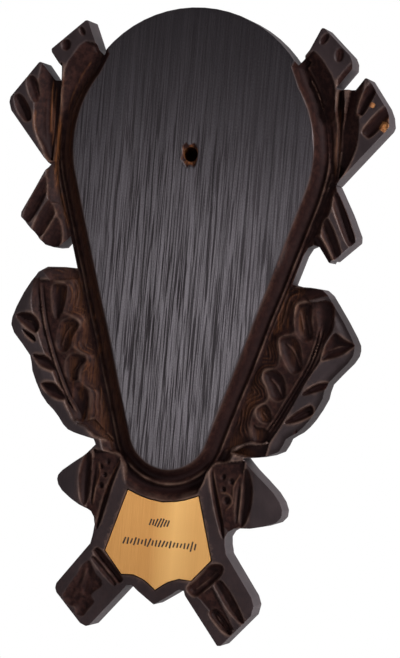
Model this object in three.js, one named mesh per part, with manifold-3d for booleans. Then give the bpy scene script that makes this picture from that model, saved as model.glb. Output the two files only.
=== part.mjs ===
// Carved oak board for mounting a pair of antlers, with a brass engraving plate let into its foot.
// Millimetres, +Z up. The front faces -Y and the flat back lies on y = 0, which is the wall.
// The origin is on the back, on the centreline, at the centre of the round head of the board.
import * as THREE from 'three';
import { mergeVertices } from 'three/addons/utils/BufferGeometryUtils.js';
import Module from 'manifold-3d';

const wasm = await Module();
wasm.setup();

// Driving dimensions of the board
const boardThickness = 20;
const crownRadius = 57.7;           // round head, about the origin
const fieldRadius = 58.5;           // head of the flat teardrop field
const fieldTipRadius = 19.5;        // foot of the field
const fieldLength = 133;            // between the centres of those two arcs
const fieldDrop = 9.5;              // centre of the field's head below the origin
const coveWidth = 6.4;              // hollow moulding round the field
const coveDepth = 6.2;
const ridgeWidth = 1.2;             // thin worn line outside the cove
const ridgeDepth = 5;
const strandWidth = 2.6;            // what is left of the board outside the ridge

// Driving dimensions of the holes
const screwDiameter = 7;            // for the screw that holds the trophy
const screwDown = 12;               // below the origin
const screwOffset = -0.9;           // bored a little left of the centreline
const screwHeadDiameter = 13;       // countersink in the back
const screwHeadDepth = 4;
const hangerDiameter = 9;           // blind hole in the back for the wall nail
const hangerDepth = 9;
const hangerUp = 34;                // above the origin

// Driving dimensions of the engraving plate
const plateThickness = 1;
const plateTopWidth = 34.4;
const plateWidth = 51.6;
const plateFootWidth = 34;
const plateShoulderHeight = 29.6;   // from the top corners down to the widest place
const plateFootHeight = 40;         // from the top corners down to the lower corners
const platePointHeight = 46;        // from the top corners down to the point
const plateTopSag = 4.4;            // how far the hollow top edge dips
const plateBelowField = 10.8;       // top corners below the end of the field
const plateClearance = 0.4;         // round its edge
const plateBed = 0.3;               // behind it
const plateLip = 0.5;               // its face lies this far below the wood
const rimWidth = 6.2;               // wood below the plate's lower edge

// The carving is drawn against this field, and follows the field when that changes
const drawnRadius = 58.5;
const drawnLength = 133;
const drawnThickness = 20;

const frontY = -boardThickness;
const above = 3;                    // how far a cutter stands proud of the front
const radians = THREE.MathUtils.degToRad;

const place = (x, z) => [x * fieldRadius / drawnRadius, z * fieldLength / drawnLength];
const sunk = (depth) => depth * boardThickness / drawnThickness;

// Solids from three.js geometry
function solid(geometry) {
  geometry.deleteAttribute('normal');
  geometry.deleteAttribute('uv');
  const merged = mergeVertices(geometry, 1e-4);
  const mesh = new wasm.Mesh({
    numProp: 3,
    vertProperties: new Float32Array(merged.attributes.position.array),
    triVerts: new Uint32Array(merged.index.array),
  });
  return new wasm.Manifold(mesh);
}

function node(name, manifold, material) {
  const { vertProperties, triVerts } = manifold.getMesh();
  const geometry = new THREE.BufferGeometry();
  geometry.setAttribute('position', new THREE.BufferAttribute(new Float32Array(vertProperties), 3));
  geometry.setIndex(new THREE.BufferAttribute(new Uint32Array(triVerts), 1));
  geometry.computeVertexNormals();
  const mesh = new THREE.Mesh(geometry, material);
  mesh.name = name;
  return mesh;
}

// A flat piece drawn on x and z, from one y to a lower one
function slab(points, fromY, toY) {
  const outline = points.map(([x, z]) => new THREE.Vector2(x, z));
  if (THREE.ShapeUtils.isClockWise(outline)) outline.reverse();
  const settings = { depth: fromY - toY, bevelEnabled: false };
  const geometry = new THREE.ExtrudeGeometry(new THREE.Shape(outline), settings);
  geometry.rotateX(Math.PI / 2);
  geometry.translate(0, fromY, 0);
  return geometry;
}

// A smooth line through a few points
function smooth(points, pieces) {
  const knots = points.map(([x, z]) => new THREE.Vector2(x, z));
  return new THREE.SplineCurve(knots).getPoints(pieces).map((point) => [point.x, point.y]);
}

function arc(centreX, centreZ, radius, fromDegrees, toDegrees, pieces) {
  return Array.from({ length: pieces + 1 }, (_, index) => {
    const angle = radians(THREE.MathUtils.lerp(fromDegrees, toDegrees, index / pieces));
    return [centreX + radius * Math.cos(angle), centreZ + radius * Math.sin(angle)];
  });
}

const mirrored = (points) => points.map(([x, z]) => [-x, z]).reverse();

// The teardrop: two arcs and the straight sides that touch both, from startDegrees on the right
// down round the foot to the same place on the left
const fieldCentreZ = -fieldDrop;
const tipCentreZ = fieldCentreZ - fieldLength;
const fieldEndZ = tipCentreZ - fieldTipRadius;
const taperDegrees = THREE.MathUtils.radToDeg(Math.asin((fieldRadius - fieldTipRadius) / fieldLength));

function teardrop(outside, startDegrees) {
  const right = [
    ...arc(0, fieldCentreZ, fieldRadius + outside, startDegrees, -taperDegrees, 9),
    ...arc(0, tipCentreZ, fieldTipRadius + outside, -taperDegrees, -90, 7),
  ];
  return [...right, ...mirrored(right).slice(1)];
}

// Carving tools. Each gives a solid that is cut away from the front.
// A flat chip: its corners are [x, z, depth], and its floor runs from corner to corner.
function chip(side, corners) {
  const floor = corners.map(([x, z, depth]) => [...place(side * x, z), sunk(depth)]);
  const geometry = slab(floor, frontY + 1, frontY - above);
  const position = geometry.attributes.position;
  for (let index = 0; index < position.count; index += 1) {
    if (position.getY(index) < frontY) continue;
    const near = ([x, z]) => Math.hypot(x - position.getX(index), z - position.getZ(index));
    const corner = floor.reduce((best, next) => (near(next) < near(best) ? next : best));
    position.setY(index, frontY + corner[2]);
  }
  return solid(geometry);
}

// A gouge stroke through a few points: a bent spindle, of this width and depth, whose axis lies
// `level` below the front. A blunt one keeps its width almost to its ends.
function gouge(side, path, width, depth, { level = 0, blunt = 0.5, sides = 8, rings = 6 } = {}) {
  const knots = path.map(([x, z]) => new THREE.Vector2(...place(side * x, z)));
  const line = knots.length > 1 ? new THREE.SplineCurve(knots) : null;
  const geometry = new THREE.SphereGeometry(1, sides, rings);
  const position = geometry.attributes.position;
  for (let index = 0; index < position.count; index += 1) {
    const height = position.getY(index);
    const share = (1 - height) / 2;
    const radius = Math.max(1 - height * height, 0);
    const swell = radius > 1e-9 ? radius ** (blunt - 0.5) : 0;
    const across = position.getX(index) * swell * width / 2;
    const proud = position.getZ(index) * swell;
    const centre = line ? line.getPoint(share) : knots[0].clone();
    const along = line ? line.getTangent(share) : new THREE.Vector2(0, -1);
    if (!line) centre.addScaledVector(along, (share - 0.5) * width);
    const rise = proud > 0 ? proud * (above + sunk(level)) : proud * sunk(depth);
    position.setXYZ(
      index,
      centre.x - along.y * across,
      frontY + sunk(level) - rise,
      centre.y + along.x * across,
    );
  }
  return solid(geometry);
}

function joined(solids) {
  return wasm.Manifold.union(solids);
}

// Engraving plate: a shield with a hollow top, sloping shoulders and a scalloped foot
const plateTopZ = fieldEndZ - plateBelowField;
const pointZ = plateTopZ - platePointHeight;

function shield(grow) {
  const right = [
    ...smooth([[0, plateTopZ - plateTopSag + grow], [plateTopWidth / 4, plateTopZ - plateTopSag * 0.72 + grow],
      [plateTopWidth / 2 + grow, plateTopZ + grow]], 5),
    [plateWidth / 2 + grow, plateTopZ - plateShoulderHeight],
    [plateFootWidth / 2 + grow, plateTopZ - plateFootHeight - grow],
    ...smooth([[plateFootWidth * 0.33, plateTopZ - plateFootHeight + 0.3 - grow],
      [plateFootWidth * 0.16, THREE.MathUtils.lerp(plateTopZ - plateFootHeight, pointZ, 0.32) - grow],
      [0, pointZ - grow]], 6),
  ];
  return [...right, ...mirrored(right).slice(1, -1)];
}

// Outline of the board, one element at a time. x is measured outwards from the centreline.
const crown = arc(0, 0, crownRadius, -90, 270, 60).slice(0, -1);
const trunk = teardrop(coveWidth + ridgeWidth + strandWidth - 1, 38);

const foot = [[0, plateTopZ + 12], [22, plateTopZ + 12], [27, plateTopZ - 20], [26, plateTopZ - plateFootHeight],
  ...smooth([[plateFootWidth / 2 - 1, plateTopZ - plateFootHeight - rimWidth + 0.4],
    [plateFootWidth / 2 - 5.3, plateTopZ - plateFootHeight - rimWidth + 1.4],
    [plateFootWidth / 4, plateTopZ - plateFootHeight - rimWidth - 1],
    [0, pointZ - rimWidth - 0.8]], 6)];

const outlines = {
  left: [
    [[50.3, 34.6], [56.2, 48], [57.4, 47.8], [72.9, 33.2], [72.6, 31.6], [67.4, 25], [67.2, 15], [60, 2], [40, 25]],
    [[62, 18.6], [70.8, 18.6], [77.6, 26.8], [78.6, 26.2], [91, 9], [91.4, 6.4], [90.2, 2.6], [69.7, -21.6], [60, -25]],
    [[69.6, -22], [80.9, -45.6], [80.9, -47.8], [68.2, -60.2], [64, -61.1], [60.9, -60.6], [56.6, -54.8],
      [48, -50], [60, -17]],
    [...smooth([[51.7, -70.1], [66.5, -70.9], [74.2, -79.6], [80.5, -94], [80.2, -102], [70.9, -113],
      [68.8, -121], [62.7, -132.8], [55.6, -139.6], [50, -146.4], [43.5, -148.7], [36, -150.3]], 24),
    [35, -152.4], [34.4, -156], [20, -160], [38, -72]],
    [...smooth([[35, -153], [40.4, -158.8], [50.4, -166.5], [52.7, -171], [49.6, -176.2], [40.5, -182],
      [34.6, -184.6], [32, -190.6], [33.3, -199.8]], 16), [20, -199], [18, -150]],
    [[32.1, -196], [33.3, -199.8], [48.2, -220.2], [48.6, -222.4], [47.8, -224.6], [35, -238], [32, -239.2],
      [30.4, -238.6], [14.5, -218.9], [10, -205], [20, -190]],
  ],
  right: [
    [[49.6, 37.4], [52.2, 41.2], [57, 51.8], [58.4, 51.8], [71.6, 39.8], [72.9, 37], [73, 33.6], [66.4, 24.6],
      [66.2, 15], [60, 2], [40, 25]],
    [[62, 23.2], [75.2, 24], [79.8, 29.8], [81, 29.6], [90.4, 17], [92.2, 13], [93, 8.4], [92.3, 6.4],
      [69.9, -21.2], [60, -25]],
    [[69.8, -21.6], [77, -34.5], [81.6, -44.4], [81.7, -47.2], [71.6, -57], [70.4, -56.6], [69.7, -58.4],
      [68.6, -57], [64, -50.8], [61.6, -50.2], [58.8, -51.6], [56.4, -56], [48, -50], [60, -17]],
    [...smooth([[51.7, -69], [56.5, -70.3], [67.5, -70.7], [73.6, -77.2], [83.6, -92], [85.6, -98], [83.2, -104],
      [74, -114.8], [72.4, -122], [67, -132.4], [61.7, -138.7], [56.6, -142.2], [53.6, -148.6], [44.4, -152],
      [37, -152.9]], 28), [34.6, -157], [20, -160], [38, -72]],
    [...smooth([[36.4, -152.7], [41.9, -158.4], [52.7, -168], [57.5, -176], [55, -182], [43.2, -185.7],
      [35.4, -186.4], [31.4, -191], [32.6, -198]], 16), [20, -199], [18, -150]],
    [[31.2, -194], [32.8, -199], [46.6, -217.8], [48.1, -221.8], [47.2, -226.6], [34, -242], [32.2, -242.2],
      [14.6, -220], [10, -205], [20, -190]],
  ],
};

function boardBlank() {
  const parts = [crown, trunk, foot, mirrored(foot)].map((points) => solid(slab(points, 0, frontY)));
  for (const [name, side] of [['left', -1], ['right', 1]]) {
    for (const points of outlines[name]) {
      parts.push(solid(slab(points.map(([x, z]) => place(side * x, z)), 0, frontY)));
    }
  }
  return joined(parts);
}

// The moulding: a cove down from the field's edge, the thin ridge, and a hollow that rises outwards
function moulding() {
  const top = [[47.4, 38.6], [44.4, 32.6]].map(([x, z]) => place(x, z));
  const line = [...top, ...teardrop(0, 34), ...mirrored(top)];
  const path = new THREE.CatmullRomCurve3(line.map(([x, z]) => new THREE.Vector3(x, frontY, z)));
  const ridgeEnd = coveWidth + ridgeWidth;
  const section = new THREE.Shape([
    [above, 0.1], [0, 0], [-coveDepth * 0.45, -coveWidth * 0.1], [-coveDepth * 0.8, -coveWidth * 0.35],
    [-coveDepth, -coveWidth * 0.72], [-ridgeDepth, -coveWidth], [-ridgeDepth, -ridgeEnd],
    [-coveDepth, -ridgeEnd - strandWidth / 3], [-coveDepth * 0.9, -ridgeEnd - strandWidth],
    [above, -ridgeEnd - strandWidth * 2.4],
  ].map(([rise, out]) => new THREE.Vector2(rise, out)));
  return solid(new THREE.ExtrudeGeometry(section, { steps: 64, extrudePath: path, bevelEnabled: false }));
}

// The stumps of branches at the shoulders: sloping chips down to the moulding, then scoops
function leftStumps() {
  return [
    chip(-1, [[58.5, 36.6, 0.3], [51, 36, 3], [46.6, 33.6, 5.6], [50, 27, 6], [57.5, 17, 6], [62, 6, 6],
      [64.5, -8, 6], [66.4, -10, 4.4], [66.2, 6, 3], [66, 18, 1.6], [64.6, 26.4, 0.6]]),
    gouge(-1, [[67.4, 26], [68.3, 5], [67.8, -20]], 3.6, 6),
    chip(-1, [[77, 25, 0.3], [78.6, 6.5, 0.4], [78.2, 0, 0.6], [77.3, -6, 0.9], [74, -12, 2], [70, -21, 4.5],
      [67.8, -18, 5.6], [68.4, 0, 5.6], [68.6, 18, 5]]),
    chip(-1, [[70, -21, 4], [69.5, -28, 2], [68.2, -38, 1.5], [62.8, -45.5, 2], [58.5, -50, 4],
      [56, -55, 6], [61, -36, 6], [65, -20, 6]]),
    gouge(-1, [[65.8, 35.2]], 5, 2),
    gouge(-1, [[59.4, 44.4], [57.4, 41.2]], 2.8, 1.4),
    gouge(-1, [[82.2, 19.2], [76.8, 6.8]], 6.8, 3, { blunt: 0.36 }),
    gouge(-1, [[88, 10], [81, -1.8]], 6.4, 3, { blunt: 0.36 }),
    gouge(-1, [[68.2, -26], [78.8, -50.6]], 6.6, 2.6, { blunt: 0.3 }),
    gouge(-1, [[65, -38.6], [73, -56]], 7, 2.8, { blunt: 0.26 }),
    gouge(-1, [[60.6, -45.6], [69, -62]], 7.6, 3.2, { blunt: 0.26 }),
  ];
}

function rightStumps() {
  return [
    chip(1, [[55.5, 40.4, 0.4], [50.6, 38, 3], [46.6, 35, 5.6], [51, 27.5, 6], [58.5, 17, 6], [62.5, 6, 6],
      [64.8, -8, 6], [67.6, -10, 4.5], [67, 4, 3.5], [66, 14, 2.5], [65.2, 26, 0.7], [61, 33.6, 0.5]]),
    gouge(1, [[69, 26], [68.8, 5], [70, -20]], 4.6, 6),
    chip(1, [[79.4, 30.6, 0.2], [79.2, 20, 0.4], [78.6, 8, 0.5], [78.2, -2, 0.8], [76, -9, 1.6],
      [72, -18, 4.2], [70.8, -14, 5.2], [70.2, 0, 5.2], [70.8, 12, 4.8], [72.6, 24.4, 3.5]]),
    chip(1, [[70, -21, 3.5], [68, -26, 2.5], [67.6, -35, 1.5], [63.6, -39, 2], [63.3, -44.5, 2.5],
      [59.6, -48, 4.5], [57.4, -53, 6], [60, -42, 6], [64.5, -28, 6], [66.6, -20, 6]]),
    gouge(1, [[59.6, 50.4], [57, 45.4]], 3.8, 1.8),
    gouge(1, [[66.6, 43.6], [66.4, 36.8]], 5, 2),
    gouge(1, [[84.2, 28], [78, 12.6]], 5.6, 3, { blunt: 0.3 }),
    gouge(1, [[92.6, 16.6], [81.6, 2.6]], 6.8, 3, { blunt: 0.4 }),
    gouge(1, [[90.6, 8.6]], 4.6, 1.2),
    gouge(1, [[69.4, -25], [80.6, -49.4]], 5.8, 3, { blunt: 0.3 }),
    gouge(1, [[65, -37.6], [73.6, -55.6]], 6.8, 3.2, { blunt: 0.26 }),
    gouge(1, [[60.6, -45.4], [70.2, -59]], 6.4, 4.4, { blunt: 0.26 }),
  ];
}

// The leaves half way down: a slope from the rim to the midrib, the inner half, the ground beside
// the moulding, the midrib itself, and a row of scoops on each side of it
function leftLeaf() {
  const midrib = [[69.2, -76], [68, -86], [65.8, -96], [62.5, -106], [58, -117], [51, -131], [43.6, -141.6]];
  const midribDepth = [1.4, 3, 3.2, 3.2, 3.2, 3.2, 3];
  const rib = midrib.map(([x, z], index) => [x, z, midribDepth[index]]);
  const crest = [[40, -142, 3], [39.5, -128, 2.6], [45, -122, 2.6], [43.5, -112, 2.4], [50.5, -106, 2.4],
    [49, -95, 2.2], [54.5, -90, 2.2], [55.5, -79, 2], [63.5, -77, 1.4]];
  const lobes = [[[58.4, -79], [60.8, -95.6]], [[50.2, -95.4], [58, -110]], [[44, -112], [52.4, -123]],
    [[42.4, -126], [44, -142]]];
  const notches = [[[79, -94.4], [66.6, -100.8], 7.4], [[69.6, -112.8], [57, -118.8], 5.6],
    [[63.6, -125.8], [51.4, -131.6], 5.6]];
  return [
    chip(-1, [[72.3, -78, 0.3], [72, -88, 0.5], [69, -97, 1], [64.4, -110, 1.2], [60, -119, 1.4],
      [53.6, -131, 1.6], [45.8, -142.6, 2.4], ...rib.toReversed()]),
    chip(-1, [...rib, ...crest]),
    chip(-1, [[52.6, -69, 6], [61, -72.4, 1.8], ...crest.toReversed(), [32, -148.6, 4], [25.6, -152, 6],
      [35, -122, 6], [44, -93, 6], [50, -72, 6]]),
    gouge(-1, midrib, 2.2, 1.4, { level: 2.9, sides: 6, rings: 9 }),
    ...lobes.map((path) => gouge(-1, path, 8.2, 2.6, { level: 2.3, blunt: 0.36 })),
    ...notches.map(([from, to, width]) => gouge(-1, [from, to], width, 2.8, { level: 0.4 })),
  ];
}

function rightLeaf() {
  const midrib = [[69.4, -75.4], [69, -86], [67.6, -97], [65, -106], [60.5, -115.5], [55.6, -125], [50.5, -135],
    [45.5, -143]];
  const midribDepth = [1.4, 3, 3.2, 3.2, 3.2, 3.2, 3.2, 3.2];
  const rib = midrib.map(([x, z], index) => [x, z, midribDepth[index]]);
  const crest = [[40, -145.5, 3], [38, -136, 2.8], [41, -128, 2.6], [46, -124, 2.6], [42, -113, 2.4],
    [49, -108.5, 2.4], [49, -96, 2.2], [55.5, -92.5, 2.2], [55.5, -80, 2], [62.5, -76, 1.4]];
  const lobes = [[[58.8, -78.6], [63.6, -95.6]], [[52, -95.6], [60.2, -110.4]], [[45, -111.6], [53.4, -125]],
    [[43, -127.4], [48.4, -135.6]]];
  const notches = [[[86, -94.4], [69, -101.2], 7], [[75, -114.4], [63, -119.8], 4.8],
    [[68.6, -127.8], [55.4, -134.8], 5]];
  return [
    chip(1, [[75, -77, 0.3], [74.8, -88, 0.5], [71, -96, 0.9], [69.6, -104, 1], [64, -114, 1.2], [58, -127, 1.4],
      [53.5, -136, 1.6], [48.6, -144.6, 2.4], ...rib.toReversed()]),
    chip(1, [...rib, ...crest]),
    chip(1, [[53, -69, 6], [60, -72, 1.8], ...crest.toReversed(), [33, -150, 4], [25.6, -152, 6], [35, -122, 6],
      [44, -93, 6], [50, -72, 6]]),
    gouge(1, midrib.slice(2), 2.6, 1.4, { level: 2.9, sides: 6, rings: 9 }),
    gouge(1, [[71, -76], [70.4, -91]], 7.6, 3.6, { level: 0.5, blunt: 0.34 }),
    gouge(1, [[35.6, -132], [36.4, -140], [40, -147]], 3.6, 2, { level: 3 }),
    ...lobes.map((path) => gouge(1, path, 8.4, 2.8, { level: 2.3, blunt: 0.34 })),
    ...notches.map(([from, to, width]) => gouge(1, [from, to], width, 2.6, { level: 0.3 })),
    gouge(1, [[61.2, -139]], 3, 1.6),
  ];
}

// The small pointed leaves beside the plate: a dark gouge along the rim, dimples, a lens-shaped scoop
function tipLeaf(side, { rim, ground, lens, vein, dimples, fall }) {
  return [
    chip(side, ground),
    chip(side, fall),
    gouge(side, rim, 3.2, 3, { rings: 9 }),
    gouge(side, lens, 6.4, 3.4, { blunt: 0.44 }),
    gouge(side, vein, 2.4, 2.2, { level: 0.6 }),
    ...dimples.map(([x, z, width]) => gouge(side, [[x, z]], width, 1.4, { level: 1.6, sides: 6, rings: 4 })),
  ];
}

const leftTip = {
  rim: [[22, -157.6], [26.8, -172], [31, -193]],
  ground: [[22.5, -157, 2.4], [35.2, -155.6, 2.4], [36, -170, 1.6], [36.6, -184, 1.4], [32.5, -189, 0.6],
    [30.4, -186, 1], [27, -172, 1.6]],
  lens: [[37.6, -156.6], [38.6, -168], [37.8, -182]],
  vein: [[34.2, -159], [34.6, -183]],
  dimples: [[28.4, -160.6, 2.8], [31.6, -163, 2.8], [29.4, -166.8, 2.8], [30.8, -172, 3.2]],
  fall: [[42.6, -156, 0.1], [55, -164, 3], [55, -178, 3], [42.6, -183, 0.1]],
};

const rightTip = {
  rim: [[21.6, -157.6], [25.2, -172], [31, -192]],
  ground: [[21.6, -157.4, 2.2], [37.4, -154.6, 2.2], [37, -170, 1.5], [37.6, -185, 1.3], [33, -188, 0.6],
    [30.6, -186, 1], [26, -172, 1.6]],
  lens: [[38.6, -157.6], [40, -171], [38.6, -185.6]],
  vein: [[36, -162], [36, -185]],
  dimples: [[28, -162.6, 3], [32.2, -164.4, 3.2], [28.6, -168.4, 2.8], [30.6, -173.6, 4]],
  fall: [[43, -158, 0.1], [58, -168, 2.6], [59, -182, 2.6], [43, -186.6, 0.1]],
};

// The legs at the foot: a scoop across beside the plate, and two along
function leftLeg() {
  return [
    gouge(-1, [[30.4, -202.6], [17.4, -216.4]], 5.4, 3.2, { blunt: 0.36 }),
    gouge(-1, [[32.2, -206], [20.4, -218]], 3.6, 2.2, { blunt: 0.4 }),
    gouge(-1, [[33.4, -209.6], [42.2, -229.4]], 8.6, 2.8, { blunt: 0.34 }),
    gouge(-1, [[27.6, -213.6], [35.6, -234.6]], 8.2, 2.8, { blunt: 0.34 }),
  ];
}

function rightLeg() {
  return [
    gouge(1, [[31.6, -204.4], [16.2, -219.4]], 8.2, 3.4, { blunt: 0.26 }),
    chip(1, [[20.6, -219.2, 1], [27.4, -215.2, 1], [38.6, -232.4, 1.2], [30, -227, 1.2]]),
    gouge(1, [[30, -211], [43.8, -231]], 4, 2.2, { blunt: 0.34 }),
    gouge(1, [[28.4, -225.4], [37.8, -236]], 5, 2.2, { blunt: 0.34 }),
  ];
}

// Screw hole with its chipped mouth, the countersink behind it, and the nail hole in the back
function bore(diameter, headDiameter, x, z, fromY, toY) {
  const geometry = new THREE.CylinderGeometry(diameter / 2, headDiameter / 2, fromY - toY, 20);
  geometry.translate(x, (fromY + toY) / 2, z);
  return solid(geometry);
}

function holes() {
  const past = 1;
  const flare = (screwHeadDiameter - screwDiameter) / screwHeadDepth;
  return [
    bore(screwDiameter, screwDiameter, screwOffset, -screwDown, past, frontY - past),
    bore(screwHeadDiameter + flare * past, screwDiameter, screwOffset, -screwDown, past, -screwHeadDepth),
    bore(hangerDiameter, hangerDiameter, 0, hangerUp, past, -hangerDepth),
    gouge(1, [[screwOffset - 1.4, -screwDown + 5.4], [screwOffset - 0.4, -screwDown - 1]], 4, 1.6),
    gouge(1, [[screwOffset, -screwDown], [screwOffset + 0.6, -screwDown - 6]], 4, 1.4),
  ];
}

const recessDepth = plateThickness + plateBed + plateLip;

function board() {
  const recess = solid(slab(shield(plateClearance), frontY + recessDepth, frontY - above));
  const cuts = [
    moulding(), recess, ...holes(), ...leftStumps(), ...rightStumps(), ...leftLeaf(), ...rightLeaf(),
    ...tipLeaf(-1, leftTip), ...tipLeaf(1, rightTip), ...leftLeg(), ...rightLeg(),
  ];
  // The chips that the cuts free fall away, and the board stays
  const pieces = boardBlank().subtract(joined(cuts)).decompose();
  return pieces.reduce((largest, piece) => (piece.volume() > largest.volume() ? piece : largest));
}

function plate() {
  const faceY = frontY + plateLip;
  return solid(slab(shield(0), faceY + plateThickness, faceY));
}

const oak = new THREE.MeshStandardMaterial({ color: 0x3a2f2d, roughness: 0.55, metalness: 0 });
const brass = new THREE.MeshStandardMaterial({ color: 0xd9b24a, roughness: 0.35, metalness: 1 });

const group = new THREE.Group();
group.add(node('carved_oak_board', board(), oak));
group.add(node('engraving_plate', plate(), brass));

export default group;
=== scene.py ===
# Looks for the carved oak antler plaque: a stained, hand-carved board with a brass engraving plate.
import math
import time

import bmesh
import bpy
import numpy as np
from mathutils import Matrix, Vector
from mathutils.geometry import tessellate_polygon


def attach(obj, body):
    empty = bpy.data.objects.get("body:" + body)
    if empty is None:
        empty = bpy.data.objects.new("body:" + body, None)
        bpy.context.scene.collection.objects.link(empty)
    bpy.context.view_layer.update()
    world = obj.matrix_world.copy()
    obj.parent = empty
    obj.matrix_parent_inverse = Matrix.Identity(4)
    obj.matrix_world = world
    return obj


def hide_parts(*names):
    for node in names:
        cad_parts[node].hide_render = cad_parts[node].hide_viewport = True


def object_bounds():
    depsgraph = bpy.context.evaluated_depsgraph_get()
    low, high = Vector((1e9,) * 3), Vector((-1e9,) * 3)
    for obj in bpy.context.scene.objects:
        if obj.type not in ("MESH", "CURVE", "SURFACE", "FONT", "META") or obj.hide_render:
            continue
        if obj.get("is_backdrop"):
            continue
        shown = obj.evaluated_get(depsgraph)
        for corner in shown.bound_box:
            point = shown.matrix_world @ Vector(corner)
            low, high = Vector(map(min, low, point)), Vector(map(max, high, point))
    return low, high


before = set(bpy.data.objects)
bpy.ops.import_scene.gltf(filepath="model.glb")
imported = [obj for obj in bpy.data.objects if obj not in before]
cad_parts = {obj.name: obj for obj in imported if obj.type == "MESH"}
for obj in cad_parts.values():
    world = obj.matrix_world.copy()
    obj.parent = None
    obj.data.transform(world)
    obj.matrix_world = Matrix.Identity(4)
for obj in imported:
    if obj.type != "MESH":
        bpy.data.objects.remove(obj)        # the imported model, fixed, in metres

startTime = time.time()
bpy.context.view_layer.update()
mm = 0.001


def report(text):
    print(f"plaque: {text} at {time.time() - startTime:.1f} s")


# The carving is worked out in millimetres on a grid over the board, as depth below the flat front.
board = {
    "node": "carved_oak_board",
    "thickness": 20.0,
    "gridStep": 0.33,
    "margin": 2.0,             # grid beyond the outline
    "edgeRound": 0.35,         # softness of the outer arris
    "triangles": 184000,
    "hardAngle": 34,           # degrees, above which an arris is shaded sharp
}
field = {                      # the flat teardrop that carries the trophy
    "radius": 58.5,
    "tipRadius": 19.5,
    "length": 133.0,
    "drop": 9.5,
    "shoulder": [(47.4, 38.6), (44.4, 32.6)],
    "shoulderAngle": 34,
    "above": (52.0, 80.0),     # closes the outline over the board, where nothing is cut
}
# Section of the moulding round the field: distance out from its edge, and depth
mouldingSection = [
    (-0.5, 0.0), (-0.1, 0.12), (0.3, 0.75), (1.1, 2.5), (2.2, 4.3), (3.4, 5.5), (4.6, 6.1), (5.5, 6.1),
    (6.2, 5.5), (6.7, 4.75), (7.05, 4.75), (7.5, 5.7), (7.9, 5.75), (8.5, 5.1), (9.2, 4.7), (10.2, 4.6),
    (11.0, 4.1), (14.0, 0.0),
]
# The same at the foot, where a second hollow runs up to the plate
footSection = [
    (-0.5, 0.0), (-0.1, 0.12), (0.3, 0.75), (1.1, 2.5), (2.2, 4.6), (3.4, 5.8), (4.6, 6.0), (5.4, 5.3),
    (6.2, 4.4), (6.9, 4.3), (7.4, 5.2), (8.4, 6.0), (9.6, 5.7), (10.8, 4.3), (11.8, 2.5), (12.7, 1.3),
    (13.6, 0.8), (14.2, 0.35), (15.4, 0.3),
]
# And beside the plate, where the rim stands almost at the front's level
rimSection = [
    (-0.5, 0.0), (-0.1, 0.12), (0.3, 0.75), (1.1, 2.5), (2.2, 4.5), (3.4, 5.7), (4.6, 6.0), (5.6, 5.6),
    (6.6, 4.6), (7.4, 2.4), (8.1, 0.5), (8.8, 0.3), (14.0, 0.3),
]
hole = {"x": -0.9, "z": -12.0, "radius": 3.5, "headRadius": 6.5, "headDepth": 4.0}
hanger = {"x": 0.0, "z": 34.0, "radius": 4.5, "depth": 9.0, "sides": 40}

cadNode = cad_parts[board["node"]]
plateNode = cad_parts["engraving_plate"]


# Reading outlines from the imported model
def faceLoops(node, atBack):
    work = bmesh.new()
    work.from_mesh(node.data)
    bmesh.ops.remove_doubles(work, verts=work.verts, dist=1e-6)
    levels = [v.co.y for v in work.verts]
    level = max(levels) if atBack else min(levels)
    flat = [f for f in work.faces if all(abs(v.co.y - level) < 2e-6 for v in f.verts)]
    isFlat = set(flat)         # only asked, never gone through, so that each run takes the same order
    follow = {}
    for face in flat:
        for edge in face.edges:
            if sum(1 for f in edge.link_faces if f in isFlat) == 1:
                for a, b in (edge.verts, reversed(edge.verts)):
                    follow.setdefault(a.index, []).append(b.index)
    work.verts.ensure_lookup_table()
    loops, seen = [], set()
    for start in follow:
        if start in seen:
            continue
        loop, here = [], start
        while here is not None:
            seen.add(here)
            loop.append((work.verts[here].co.x / mm, work.verts[here].co.z / mm))
            here = next((n for n in follow[here] if n not in seen), None)
        loops.append(np.array(loop))
    work.free()
    return sorted(loops, key=lambda points: -np.ptp(points[:, 1]))


outline = faceLoops(cadNode, True)[0]
plateOutline = faceLoops(plateNode, False)[0]

step = board["gridStep"]
gridLow = outline.min(axis=0) - board["margin"]
gridSize = np.ceil((np.ptp(outline, axis=0) + 2 * board["margin"]) / step).astype(int) + 1
gridX = gridLow[0] + step * np.arange(gridSize[0])
gridZ = gridLow[1] + step * np.arange(gridSize[1])
atX, atZ = (a.astype(np.float32) for a in np.meshgrid(gridX, gridZ))     # place of each grid point


def insideDistance(loop, area=(slice(None), slice(None))):
    x, z = atX[area], atZ[area]
    nearest = np.full(x.shape, 1e9, np.float32)
    inside = np.zeros(x.shape, bool)
    for (x0, z0), (x1, z1) in zip(loop, np.roll(loop, -1, axis=0)):
        alongX, alongZ = x1 - x0, z1 - z0
        lengthSquared = alongX ** 2 + alongZ ** 2
        if lengthSquared < 1e-8:
            continue
        share = np.clip(((x - x0) * alongX + (z - z0) * alongZ) / lengthSquared, 0, 1)
        nearest = np.minimum(nearest, (x - x0 - share * alongX) ** 2 + (z - z0 - share * alongZ) ** 2)
        if abs(alongZ) > 1e-9:
            inside ^= ((z0 > z) != (z1 > z)) & (x < x0 + (z - z0) * alongX / alongZ)
    nearest = np.sqrt(nearest)
    return np.where(inside, nearest, -nearest)


def blur(values, sizeX, sizeZ=None):
    sizeZ = sizeX if sizeZ is None else sizeZ
    waveX = np.fft.rfftfreq(values.shape[1], step)
    waveZ = np.fft.fftfreq(values.shape[0], step)[:, None]
    keep = np.exp(-2 * math.pi ** 2 * ((waveX * sizeX) ** 2 + (waveZ * sizeZ) ** 2))
    return np.fft.irfft2(np.fft.rfft2(values) * keep, s=values.shape).astype(np.float32)


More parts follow.
